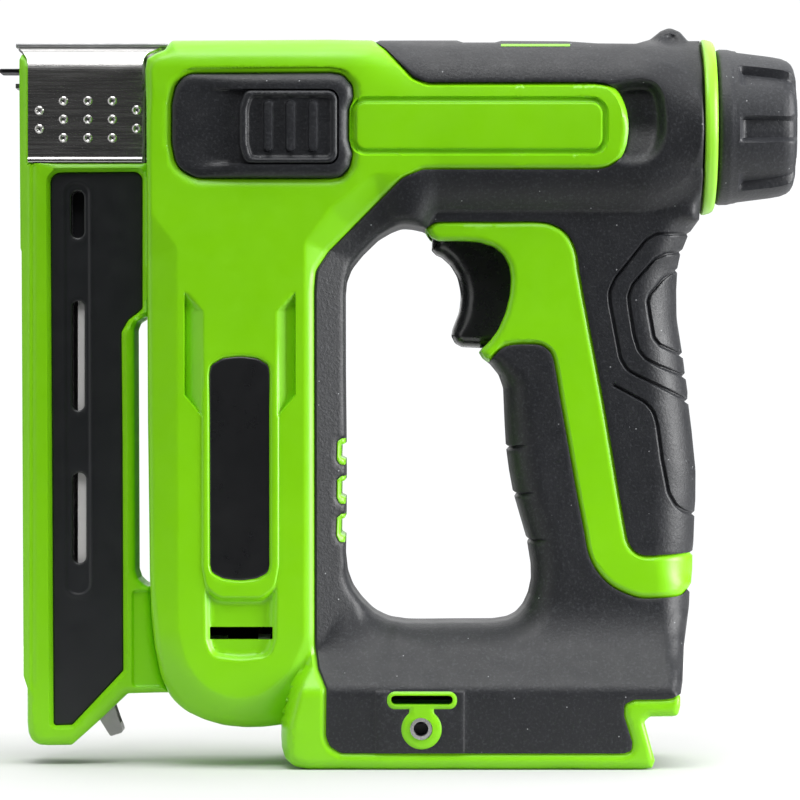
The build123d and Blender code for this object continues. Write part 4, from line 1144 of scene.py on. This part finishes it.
def build_magazine():
    keep = lambda p: inside(p, MAGO)
    V, F = area([(MAGO, (0.7, 1.7, 3.0, 4.6, 6.6)), (INLAY, (0.7, 1.7, 3.0, 4.6))] + [(g, (0.8, 1.7)) for g in SIGHTS],
                [(BAND, (0.0, 0.9, 1.8, 3.0, 4.0), True), (WEB, (0.0, 1.2, 2.6), True),
                 (np.array([(31.0, 60), (31.0, 690)], float), (0.0, 1.2, 2.6, 4.0), False)],
                (15, 50, 175, 750), 3.6, keep)
    c = V[F].mean(1)
    ok = inside(c, MAGO)
    inl = inside(c, INLAY)
    open_ = ok.copy()
    for g in SIGHTS:
        open_ &= ~inside(c, g)
    for side, right in (("left", False), ("right", True)):
        vv, ff = shell(V, F[ok & ~inl], mag_height, mag_yb, 1.6, 6)
        fit(mesh_object("magazine_cover_" + side, vv, ff, GREEN, 38.0, right), "housing", "green_plastic", "magazine_%s_cover" % side)
        vv, ff = shell(V, F[(ok if right else open_) & inl], panel_height, mag_yb, 2.0, 3)
        fit(mesh_object("magazine_inlay_" + side, vv, ff, BLACK, 38.0, right), "housing", "black_plastic", "magazine_%s_panel" % side)


build_magazine()


# ------------------------------------------------------------------ pads, thumb slides, bare plates, trigger
def inset(poly, d):
    q = offsets(poly, d, 1.6)
    q = q[inside(q, poly)]
    # keep the outline's order
    ref = split(poly, 0.8)
    order = [int(np.argmin(((ref - p) ** 2).sum(1))) for p in q]
    return q[np.argsort(order, kind="stable")]


PADI = inset(PADO, 0.7)
THUMB = ring([(245, 90.2, 8), (337.4, 90.2, 10), (337.4, 163.0, 10), (245, 163.0, 8), (239.4, 146, 30), (239.4, 107, 30)])
DISH = ring([(250.4, 94.4, 7), (333.6, 94.4, 8), (333.6, 158.8, 8), (250.4, 158.8, 7), (246.0, 144, 25), (246.0, 109, 25)])
TRACK = ring([(120, 89.3), (338.3, 89.3, 10), (338.3, 163.9, 10), (120, 163.9)])
RIBS = [ring([(262.8, 99.6, 5.1), (273.2, 99.6, 5.1), (273.2, 152.2, 5.1), (262.8, 152.2, 5.1)]),
        ring([(285, 99.6, 5.1), (295.6, 99.6, 5.1), (295.6, 152.2, 5.1), (285, 152.2, 5.1)]),
        ring([(307.6, 99.6, 5.1), (318, 99.6, 5.1), (318, 152.2, 5.1), (307.6, 152.2, 5.1)])]


def pad_height(P):
    u = P[:, 0]
    d = signed(P, PADI)
    tall = 0.85 + 1.50 * sm(u, 186, 252)
    wide = 7.0 + 4.0 * sm(u, 186, 252)
    frame_h = 24.75 + tall * np.sqrt(1 - (1 - np.clip(d / wide, 0, 1)) ** 2)
    w_ = 1.3 + 10.0 * (1 - sm(u, 196, 236))
    e = signed(P, TRACK)
    m = np.clip(e / w_ + 0.5, 0, 1)
    m = m * m * (3 - 2 * m) * sm(u, 173, 211)
    return frame_h - np.maximum(frame_h - 25.5, 0) * m


def thumb_height(P):
    u = P[:, 0]
    d = signed(P, THUMB)
    q = np.sqrt(1 - (1 - np.clip(d / 3.0, 0, 1)) ** 2)
    h = 26.7 + 0.9 * q
    s = signed(P, DISH)
    h -= 1.2 * sm(s, -0.8, 3.2)
    for g in RIBS:
        h += 1.2 * sm(signed(P, g), -0.3, 2.0)
    return h


def label_height(P):
    d = signed(P, LABELI)
    return 24.72 + 0.24 * np.sqrt(1 - (1 - np.clip(d / 2.2, 0, 1)) ** 2) + 0.0 * P[:, 0]


LABELI = (LABELO - LABELO.mean(0)) * np.array([1 - 0.6 / 31.0, 1 - 0.6 / 113.0]) + LABELO.mean(0)
TRIG = ring([
    (432.4, 238.6, 1), (431.8, 250.4, 2), (436, 254.8, 5), (442, 257.6, 10), (450.5, 265.4, 20), (457.6, 277, 30), (461.2, 294, 40),
    (459.4, 311, 40), (452.6, 328.6, 10), (451.4, 336, 5), (455.2, 343.4, 6), (462, 347, 7), (481, 348, 4), (495, 345.6, 8), (512, 322, 20),
    (529, 316, 3), (529, 298, 3), (520, 290, 10), (520, 262, 20), (512, 244.0, 8), (470, 238.8), (442, 238.6)])
TRIG_FRONT = ring([
    (431.2, 232), (431.8, 250.4, 2), (436, 254.8, 5), (442, 257.6, 10), (450.5, 265.4, 20), (457.6, 277, 30), (461.2, 294, 40), (459.4, 311, 40),
    (452.6, 328.6, 10), (451.4, 336, 5), (455.2, 343.4, 6), (462, 347, 7), (481, 348, 4), (499, 345.0)], closed=False)


def trigger_height(P):
    u, v = P[:, 0], P[:, 1]
    d = dist(P, TRIG_FRONT, False) * PX
    front = 1 - sm(u - 0.16 * (v - 290), 478, 500)
    R = 0.9 + 3.9 * front * (1 - 0.45 * sm(v, 322, 340))
    q = np.sqrt(1 - (1 - np.clip(d / R, 0, 1)) ** 2)
    h = 8.45 * (1 - (0.12 + 0.62 * front) * (1 - q))
    return h


vv, ff = plate(PADI, pad_height, 23.45, (0.7, 1.6, 2.8, 4.4, 6.4, 9.0, 11.5), 3.6,
               [(ring([(200, 89.3), (338.3, 89.3, 10), (338.3, 163.9, 10), (200, 163.9)], closed=False), (0.0, 0.7, 1.6), False)], [STEM])
for side, right in (("left", False), ("right", True)):
    fit(mesh_object("side_pad_" + side, vv, ff, SOFT, 38.0, right), "housing", "soft_black", side + "_side_pad")
tv, tf = plate(THUMB, thumb_height, 25.95, (0.7, 1.6, 2.8, 4.4, 6.4), 3.0,
               [(DISH, (0.0, 1.0, 2.2, 3.4, 4.6), True)] + [(g, (0.0, 0.8, 1.7, 2.6), True) for g in RIBS])
foot = sweep_x([(-25.98, 172.0), (-19.66, 172.0), (-19.66, 181.0), (-25.98, 181.0)], -33.0, -26.6)
for side, right in (("left", False), ("right", True)):
    a, b = joined((tv, tf), foot)
    fit(mesh_object("thumb_slide_" + side, a, b, SOFT, 38.0, right), BODY_OF["release_slide_" + side], "soft_black", "release_slide_" + side)
# yoke between the two slides, bent from strip
YOKE = ring([(-19.6, 174.0, .4), (-19.6, 195.2, 2.2), (19.6, 195.2, 2.2), (19.6, 174.0, .4), (18.2, 174.0, .4), (18.2, 193.8, .9), (-18.2, 193.8, .9), (-18.2, 174.0, .4)], 0.25)
vv, ff = sweep_x(YOKE, -33.0, -26.6, 4)
fit(mesh_object("release_yoke_formed", vv, oriented(vv, ff), BRIGHT, 35.0), BODY_OF["release_yoke"], "bright_steel", "release_yoke")
vv, ff = plate(LABELI, label_height, 24.15, (0.7, 1.5, 2.4), 5.0, rows=2)
lv = vv * np.array([1, -1, 1])
both_v, both_f = joined((vv, ff), (lv, [tuple(f)[::-1] for f in ff]))
fit(mesh_object("label_plates_bare", both_v, both_f, LABEL, 38.0), "housing", "label_black", "label_plates")
vv, ff = both(TRIG, trigger_height, (0.7, 1.6, 2.8, 4.4, 6.4, 9.0, 12.4, 14.5, 16.5), 3.4)
fit(mesh_object("trigger_lever", vv, ff, SATIN, 38.0), "trigger", "black_plastic", "trigger")


# ------------------------------------------------------------------ knob and ring
AXZ = 177.3
KNOB = densify([
    (88.8, 9.3), (88.8, 20.8), (89.3, 21.5), (90.0, 21.75), (92.2, 21.7), (93.4, 21.4), (99.0, 20.7),
    (104.0, 20.05), (107.0, 19.5), (108.6, 18.9), (109.7, 18.0), (110.45, 16.7), (110.85, 15.2), (111.0, 13.6), (111.0, 6.2), (110.6, 5.0),
    (107.2, 4.3), (107.0, 4.1), (107.0, 2.3), (97.3, 2.3), (97.3, 9.3)], 0.62)


def flutes(x, r, t):
    if r < 12.5 or x < 93.4:
        return r
    k = (t - math.pi - math.radians(4.5) + math.pi / 8) % (math.pi / 4) - math.pi / 8
    a = abs(k) * r
    s1 = max(0.0, min(1.0, (3.6 - a) / 0.9))
    s2 = max(0.0, min(1.0, (x - 94.4) / 1.6))
    s3 = max(0.0, min(1.0, (r - 12.5) / 2.5))
    f = lambda q: q * q * (3 - 2 * q)
    return r - 2.4 * f(s1) * f(s2) * f(s3)


vv, ff = lathe(KNOB, 240, (0, 0, AXZ), "x", flutes)
fit(mesh_object("power_knob_grip", vv, oriented(vv, ff), GRIP, 42.0), "knob", "soft_black", "power_knob")
RINGS = densify([(84.85, 12.7), (84.85, 24.05), (85.2, 24.45), (85.9, 24.5), (87.3, 24.1), (88.1, 23.6), (88.45, 22.9), (88.45, 12.7)], 0.5)
vv, ff = lathe(RINGS, 160, (0, 0, AXZ), "x")
# the rear ring wears the lighter green copy, a painted highlight
fit(mesh_object("rear_ring_band", vv, oriented(vv, ff), RING_PAINTED_HIGHLIGHT, 38.0), "housing", "green_plastic", "rear_ring")


# ------------------------------------------------------------------ nose guard: folded sheet with raised dimples
def guard():
    t, rr, top, ys = 0.75, 7.4, 199.3, 12.4
    out = [(-12.3, 166.9), (-12.75, 167.0), (-12.95, 167.3), (-12.95, 167.85), (-12.75, 168.15), (-12.42, 168.35)]
    for z in np.linspace(169.2, top - rr, 16):
        out.append((-ys, z))
    for i in range(1, 17):
        a = math.radians(90 * i / 16)
        out.append((-ys + rr - rr * math.cos(a), top - rr + rr * math.sin(a)))
    for y in np.linspace(-ys + rr, 0, 6)[1:]:
        out.append((y, top))
    out = np.array(out)
    out = np.vstack([out, (out * np.array([-1, 1]))[:-1][::-1]])
    tan = np.gradient(out, axis=0)
    tan /= np.hypot(tan[:, 0], tan[:, 1])[:, None]
    nin = np.stack([tan[:, 1], -tan[:, 0]], 1)
    inn = out + nin * t
    v = 400 - (out[:, 1] - 101.0) / PX
    ul = np.interp(v, [40, 47, 50, 54, 60, 64, 72], [18.4, 18.6, 20.6, 25.0, 29.6, 31.0, 31.4])
    ur = np.interp(v, [40, 46, 49, 52, 56, 61, 66, 72], [168.4, 167.4, 162.4, 156.4, 149.4, 146.0, 145.0, 144.6])
    xl, xr = (ul - 400) * PX + XOFF, (ur - 400) * PX + XOFF
    m, n = len(out), 30
    vs = []
    for layer in (out, inn):
        for i in range(m):
            for k in range(n + 1):
                q = k / n
                q = q + 0.06 * math.sin(2 * math.pi * q) * -1
                vs.append((xl[i] + (xr[i] - xl[i]) * q, layer[i][0], layer[i][1]))
    idx = lambda L, i, k: L * m * (n + 1) + i * (n + 1) + k
    fs = []
    for i in range(m - 1):
        for k in range(n):
            fs.append((idx(0, i, k), idx(0, i, k + 1), idx(0, i + 1, k + 1), idx(0, i + 1, k)))
            fs.append((idx(1, i + 1, k), idx(1, i + 1, k + 1), idx(1, i, k + 1), idx(1, i, k)))
    for i in range(m - 1):
        fs.append((idx(0, i + 1, 0), idx(1, i + 1, 0), idx(1, i, 0), idx(0, i, 0)))
        fs.append((idx(0, i, n), idx(1, i, n), idx(1, i + 1, n), idx(0, i + 1, n)))
    for k in range(n):
        fs.append((idx(0, 0, k), idx(1, 0, k), idx(1, 0, k + 1), idx(0, 0, k + 1)))
        fs.append((idx(0, m - 1, k + 1), idx(1, m - 1, k + 1), idx(1, m - 1, k), idx(0, m - 1, k)))
    sheet = (np.array(vs), oriented(vs, fs))
    spots = [(u, w) for u in (63.5, 88, 112.4) for w in (101, 119.5, 138)] + [(39.4, 110.6), (39.4, 129), (136.6, 110.2), (136.6, 128.6)]
    sec = [(0.02 - 0.42 * math.exp(-((r - 0.86) / 0.24) ** 2), max(r, 0.004)) for r in np.linspace(0, 1.36, 18)] + [(0.12, 1.36), (0.12, 0.004)]
    # flat cover strip on top, its edges rounded
    cap = ring([(-7.0, 199.2, .4), (7.0, 199.2, .4), (7.0, 200.35, .4), (-7.0, 200.35, .4)], 0.12)
    parts = [sheet]
    for s_ in (-1, 1):
        for u, w in spots:
            p = place(np.array([(u, w)], float), np.array([ys]))[0]
            vv, ff = lathe([(a * -s_, b) for a, b in sec], 28, (p[0], s_ * ys, p[2]), "y")
            parts.append((vv, oriented(vv, ff)))
    return joined(*parts), sweep_x(cap, (18.0 - 400) * PX + XOFF, (168.6 - 400) * PX + XOFF, 12)


(vv, ff), (cv, cf) = guard()
fit(mesh_object("nose_guard_sheet", vv, ff, STEEL, 40.0), "housing", "guard_steel", "nose_guard")
fit(mesh_object("nose_guard_cap", cv, oriented(cv, cf), CASE, 40.0), "housing", "guard_steel")


def nose_block():
    """the block under the guard, its upper corners drawn in to follow the guard's bend"""
    import bmesh
    bm = bmesh.new()
    bm.from_mesh(nodes["nose_block"].data)
    for z in (0.1926, 0.1946, 0.1963, 0.1976):
        bmesh.ops.bisect_plane(bm, geom=bm.verts[:] + bm.edges[:] + bm.faces[:], plane_co=(0, 0, z), plane_no=(0, 0, 1))
    for y in (0.0050, 0.0070, 0.0088, 0.0102):
        for s_ in (-1, 1):
            bmesh.ops.bisect_plane(bm, geom=bm.verts[:] + bm.edges[:] + bm.faces[:], plane_co=(0, s_ * y, 0), plane_no=(0, 1, 0))
    for p in bm.verts:
        y, z = abs(p.co.y) - 0.0050, p.co.z - 0.1926
        if y > 0 and z > 0:
            r = math.hypot(y, z)
            if r > 0.0063:
                y, z = y * 0.0063 / r, z * 0.0063 / r
                p.co.y = math.copysign(0.0050 + y, p.co.y)
                p.co.z = 0.1926 + z
    me = bpy.data.meshes.new("nose_block_formed")
    bm.to_mesh(me)
    bm.free()
    ob = bpy.data.objects.new("nose_block_formed", me)
    bpy.context.scene.collection.objects.link(ob)
    me.materials.clear()
    me.materials.append(CAST)
    return ob


fit(nose_block(), "housing", "cast_steel", "nose_block")

# ------------------------------------------------------------------ contact foot: thin at its tip, full thickness in its guide
FOOT = ring([(-111.0, 192.15, .55), (-111.0, 193.45, .55), (-104.2, 193.45, .5), (-103.0, 193.8, .4), (-79.0, 193.8, .3), (-79.0, 191.8, .3),
             (-103.0, 191.8, .4), (-104.2, 192.15, .5)], 0.15)
vv, ff = sweep_x(FOOT, -5.0, 5.0, 20)
vv = np.array(vv, float)[:, [1, 0, 2]]
edge = np.clip(np.abs(vv[:, 1]) - 4.4, 0, 0.6) / 0.6
vv[:, 2] = 192.8 + (vv[:, 2] - 192.8) * (1 - 0.3 * edge ** 2)
vv[:, 0] += np.where(vv[:, 0] < -108, 0.6 * edge ** 2, 0.0)
fit(mesh_object("contact_foot_formed", vv, oriented(vv, ff), DARKST, 35.0), "contact", "black_steel", "contact_foot")

# ------------------------------------------------------------------ housing screws: pan heads with a six-lobe socket
def screw_set():
    parts = []
    for u, v in SCREWS:
        top = float(base_height(np.array([(u, v)], float))[0]) - 2.3
        sec = [(top - 1.9, 0.004), (top - 1.9, 1.45), (top - 0.12, 1.55), (top, 1.75), (top - 0.05, 2.1), (top - 0.25, 2.65), (top - 0.7, 3.05), (top - 1.3, 3.2),
               (top - 2.4, 3.2), (top - 2.5, 3.0), (top - 2.5, 1.5), (top - 12.0, 1.5), (top - 12.0, 0.004)]
        lobe = lambda x, r, t, top=top: r * (1 + 0.13 * math.cos(6 * t)) if 0.1 < r < 1.6 and x > top - 2.0 else r
        vv, ff = lathe(sec, 48, ((u - 400) * PX + XOFF, 0.0, (400 - v) * PX + ZOFF), "y", lobe)
        parts.append((vv, oriented(vv, ff)))
    return joined(*parts)


vv, ff = screw_set()
fit(mesh_object("housing_screw_set", vv, ff, DARKST, 35.0), "housing", "black_steel", "housing_screws")

# ------------------------------------------------------------------ bright line along each side of the top window
LINE = ring([(501, 43.9, .6), (570, 43.9, .6), (570, 46.3, .6), (501, 46.3, .6)], 0.4)
vv, ff = plate(LINE, lambda P: base_height(P) + 0.16, 11.6, (0.6,), 3.0, rows=2)
lv = vv * np.array([1, -1, 1])
vv, ff = joined((vv, ff), (lv, [tuple(f)[::-1] for f in ff]))
fit(mesh_object("window_lines", vv, ff, GREEN, 38.0), "housing", "green_plastic")

# ------------------------------------------------------------------ springs
for name, p0, p1, rad, wire, turns, joint, axis, anchor, keep in (
        ("trigger_spring", (37.4, 0, 127.0), (49.8, 0, 127.0), 2.6, 0.35, 7, "trigger_pull", (1, 0, 0), (0.0498, 0, 0.127), (12.4 - 6.1) / 12.4),
        ("contact_spring", (-78.95, 0, 192.8), (-72.25, 0, 192.8), 0.95, 0.22, 5, "contact_press", (1, 0, 0), (-0.07225, 0, 0.1928), (6.7 - 5.1) / 6.7),
        ("pusher_spring", (-84.6, 0, 21.3), (-84.6, 0, 142.5), 2.2, 0.4, 26, "pusher_travel", (0, 0, 1), (-0.0846, 0, 0.0213), (121.2 - 100.2) / 121.2)):
    vv, ff = coil(p0, p1, rad, wire, turns)
    ob = mesh_object(name + "_coil", vv, ff, SPRING, 60.0)
    fit(ob, BODY_OF[name], "spring_steel", name)
    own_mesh(ob)
# the main spring drawn as its front eight turns and its last three, both riding the main spring's body
vv, ff = coil((-13.6, 0, AXZ), (60.2, 0, AXZ), 8.6, 1.3, 11)
MID = -13.6 + 1.3 + (73.8 - 2.6) * 8 / 11
for name, i0, i1, joint, keep, stood in (
        ("main_spring_coil", 0, 8 * 22, "driver_stroke", (MID + 13.6 - 18.2) / (MID + 13.6), ("main_spring",)),
        ("main_spring_coil_end", 8 * 22, 11 * 22, "preload_travel", (60.2 - MID - 4.75) / (60.2 - MID), ())):
    pv, pf = coil_length(vv, i0, i1)
    ob = mesh_object(name, pv, pf, SPRING, 60.0)
    fit(ob, BODY_OF["main_spring"], "spring_steel", *stood)
    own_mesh(ob)

# ------------------------------------------------------------------ battery bay liner
BAY = [(26.1, 0.3), (26.1, 12.2), (-26.1, 12.2), (-26.1, 0.3), (-21.0, 0.3), (-21.0, 3.2), (-25.0, 3.2), (-25.0, 10.0), (25.0, 10.0), (25.0, 3.2), (21.0, 3.2), (21.0, 0.3)]
parts = [sweep_x(BAY[::-1], -23.8, 66.5, 4), sweep_x([(-26.1, 0.3), (26.1, 0.3), (26.1, 12.2), (-26.1, 12.2)], -26.0, -23.8)]
vv, ff = joined(*parts)
fit(mesh_object("battery_bay_liner", vv, ff, BLACK, 30.0), "housing", "black_plastic")

# ------------------------------------------------------------------ motor bracket seen through the louvre: a near-black plate, painted shade for the dark inside of the housing
vv, ff = joined(sweep_x(ring([(-1.2, 28.5, .3), (1.2, 28.5, .3), (1.2, 40.4, .3), (-1.2, 40.4, .3)], 0.2), -60.0, -22.0, 6),
                sweep_x(ring([(-9.0, 30.2, .4), (9.0, 30.2, .4), (9.0, 31.6, .4), (-9.0, 31.6, .4)], 0.2), -58.0, -24.0, 6))
fit(mesh_object("motor_bracket_painted_shade", vv, oriented(vv, ff), INNER_SHADE_PAINT, 30.0), "housing", "black_plastic")
# pale strips behind the louvre, placed for painted glints in the dark slot
vv, ff = joined(sweep_x(ring([(-17.2, 34.2, .2), (-12.6, 35.2, .2), (-12.6, 35.9, .2), (-17.2, 34.9, .2)], 0.1), -51.6, -46.8, 4),
                sweep_x(ring([(-17.2, 34.6, .2), (-12.6, 35.6, .2), (-12.6, 36.3, .2), (-17.2, 35.3, .2)], 0.1), -38.4, -35.0, 4))
fit(mesh_object("brush_straps_painted_glint", vv, oriented(vv, ff), STRIP_GLINT_PAINT, 30.0), "housing", "bright_steel")
# pale edge strip behind the two lower sight slots: its near-white colour paints the steel's bright reflection inside
# the shaded slots
vv, ff = sweep_x(ring([(-8.95, 36.0, .25), (-8.35, 36.0, .25), (-8.35, 132.0, .25), (-8.95, 132.0, .25)], 0.15), -88.75, -85.6, 4)
fit(mesh_object("sight_strip_painted_glint", vv, oriented(vv, ff), STRIP_GLINT_PAINT, 30.0), "housing", "bright_steel")

# ------------------------------------------------------------------ camera, floor, light
cam = bpy.data.objects.new("camera", bpy.data.cameras.new("camera"))
bpy.context.scene.collection.objects.link(cam)
cam.location = (0.0008, -1.3, 0.101)
cam.rotation_euler = (math.radians(90), 0, 0)
cam.data.sensor_width = 36.0
cam.data.lens = 36.0 * 1300.0 / 224.0
cam.data.clip_start, cam.data.clip_end = 0.05, 50
bpy.context.scene.camera = cam


def floor_sheet():
    """a flat pale floor, painted paler away from the object to make up for the lamps' falloff"""
    ys = [-0.16, 0.1, 0.3, 0.62]
    vs, fs = [], []
    for y in ys:
        vs += [(-0.72, y, -0.0002), (0.72, y, -0.0002)]
    for i in range(len(ys) - 1):
        fs.append((2 * i, 2 * i + 1, 2 * i + 3, 2 * i + 2))
    me = bpy.data.meshes.new("floor")
    me.from_pydata(vs, [], fs)
    ob = bpy.data.objects.new("floor", me)
    bpy.context.scene.collection.objects.link(ob)
    mat = bpy.data.materials.new("pale_floor_painted_falloff")
    nt, bs, co = nodes_of(mat)
    n = noise(nt, co, 6.0, 2.0)
    near = mixed(nt, n, (0.63, 0.63, 0.63), (0.66, 0.66, 0.66))
    # paler away from the object: painted light that makes up for the lamps' falloff
    far = nt.nodes.new("ShaderNodeVectorMath")
    far.operation = "LENGTH"
    nt.links.new(co, far.inputs[0])
    ramp = nt.nodes.new("ShaderNodeMapRange")
    ramp.inputs["From Min"].default_value = 0.30
    ramp.inputs["From Max"].default_value = 0.68
    nt.links.new(far.outputs["Value"], ramp.inputs["Value"])
    nt.links.new(mixed(nt, ramp.outputs["Result"], near, (0.97, 0.97, 0.97)), bs.inputs["Base Color"])
    bs.inputs["Roughness"].default_value = 0.85
    me.materials.append(mat)
    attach(ob, "rail")  # the drawn magazine rail sets how high the object stands


floor_sheet()


def lamp(name, loc, target, size, power, size_y=None):
    ld = bpy.data.lights.new(name, "AREA")
    ld.energy = power
    ld.shape = "RECTANGLE"
    ld.size, ld.size_y = size, size_y or size
    ob = bpy.data.objects.new(name, ld)
    bpy.context.scene.collection.objects.link(ob)
    ob.visible_camera = False
    ob.location = loc
    ob.rotation_euler = (Vector(target) - Vector(loc)).to_track_quat("-Z", "Y").to_euler()
    return ob


lamp("top", (0.10, -0.06, 1.30), (0, 0, 0.1), 1.0, 7.4, 0.8)
lamp("right", (1.30, -0.34, 0.42), (0, 0, 0.12), 0.60, 28.0, 0.8)
lamp("left", (-1.25, -0.70, 0.45), (0, 0, 0.1), 1.1, 3.9, 1.2)
lamp("high", (-0.10, -0.76, 1.28), (0, 0, 0.12), 0.8, 8.4, 0.5)
lamp("back", (0.0, 1.30, 1.00), (0, 0, 0.35), 2.6, 20.0, 1.8)


def studio_world():
    """dim room, brighter overhead and to the sides"""
    wd = bpy.data.worlds.new("studio")
    bpy.context.scene.world = wd
    wd.use_nodes = True
    nt = wd.node_tree
    bg = nt.nodes["Background"]
    bg.inputs["Color"].default_value = (0.98, 0.99, 1.0, 1)
    co = nt.nodes.new("ShaderNodeTexCoord")
    sp = nt.nodes.new("ShaderNodeSeparateXYZ")
    nt.links.new(co.outputs["Generated"], sp.inputs["Vector"])
    up = remap(nt, sp.outputs["Z"], 0.35, 0.85, 0.0, 0.55)
    ab = nt.nodes.new("ShaderNodeMath")
    ab.operation = "ABSOLUTE"
    nt.links.new(sp.outputs["X"], ab.inputs[0])
    side = remap(nt, ab.outputs["Value"], 0.65, 0.95, 0.03, 0.30)
    add = nt.nodes.new("ShaderNodeMath")
    add.operation = "ADD"
    nt.links.new(up, add.inputs[0])
    nt.links.new(side, add.inputs[1])
    seen = nt.nodes.new("ShaderNodeLightPath")
    pale = nt.nodes.new("ShaderNodeMath")
    pale.operation = "MAXIMUM"
    nt.links.new(add.outputs["Value"], pale.inputs[0])
    nt.links.new(remap(nt, seen.outputs["Is Camera Ray"], 0.0, 1.0, 0.0, 1.06), pale.inputs[1])
    nt.links.new(pale.outputs["Value"], bg.inputs["Strength"])


studio_world()
bpy.context.scene.view_settings.view_transform = "Standard"
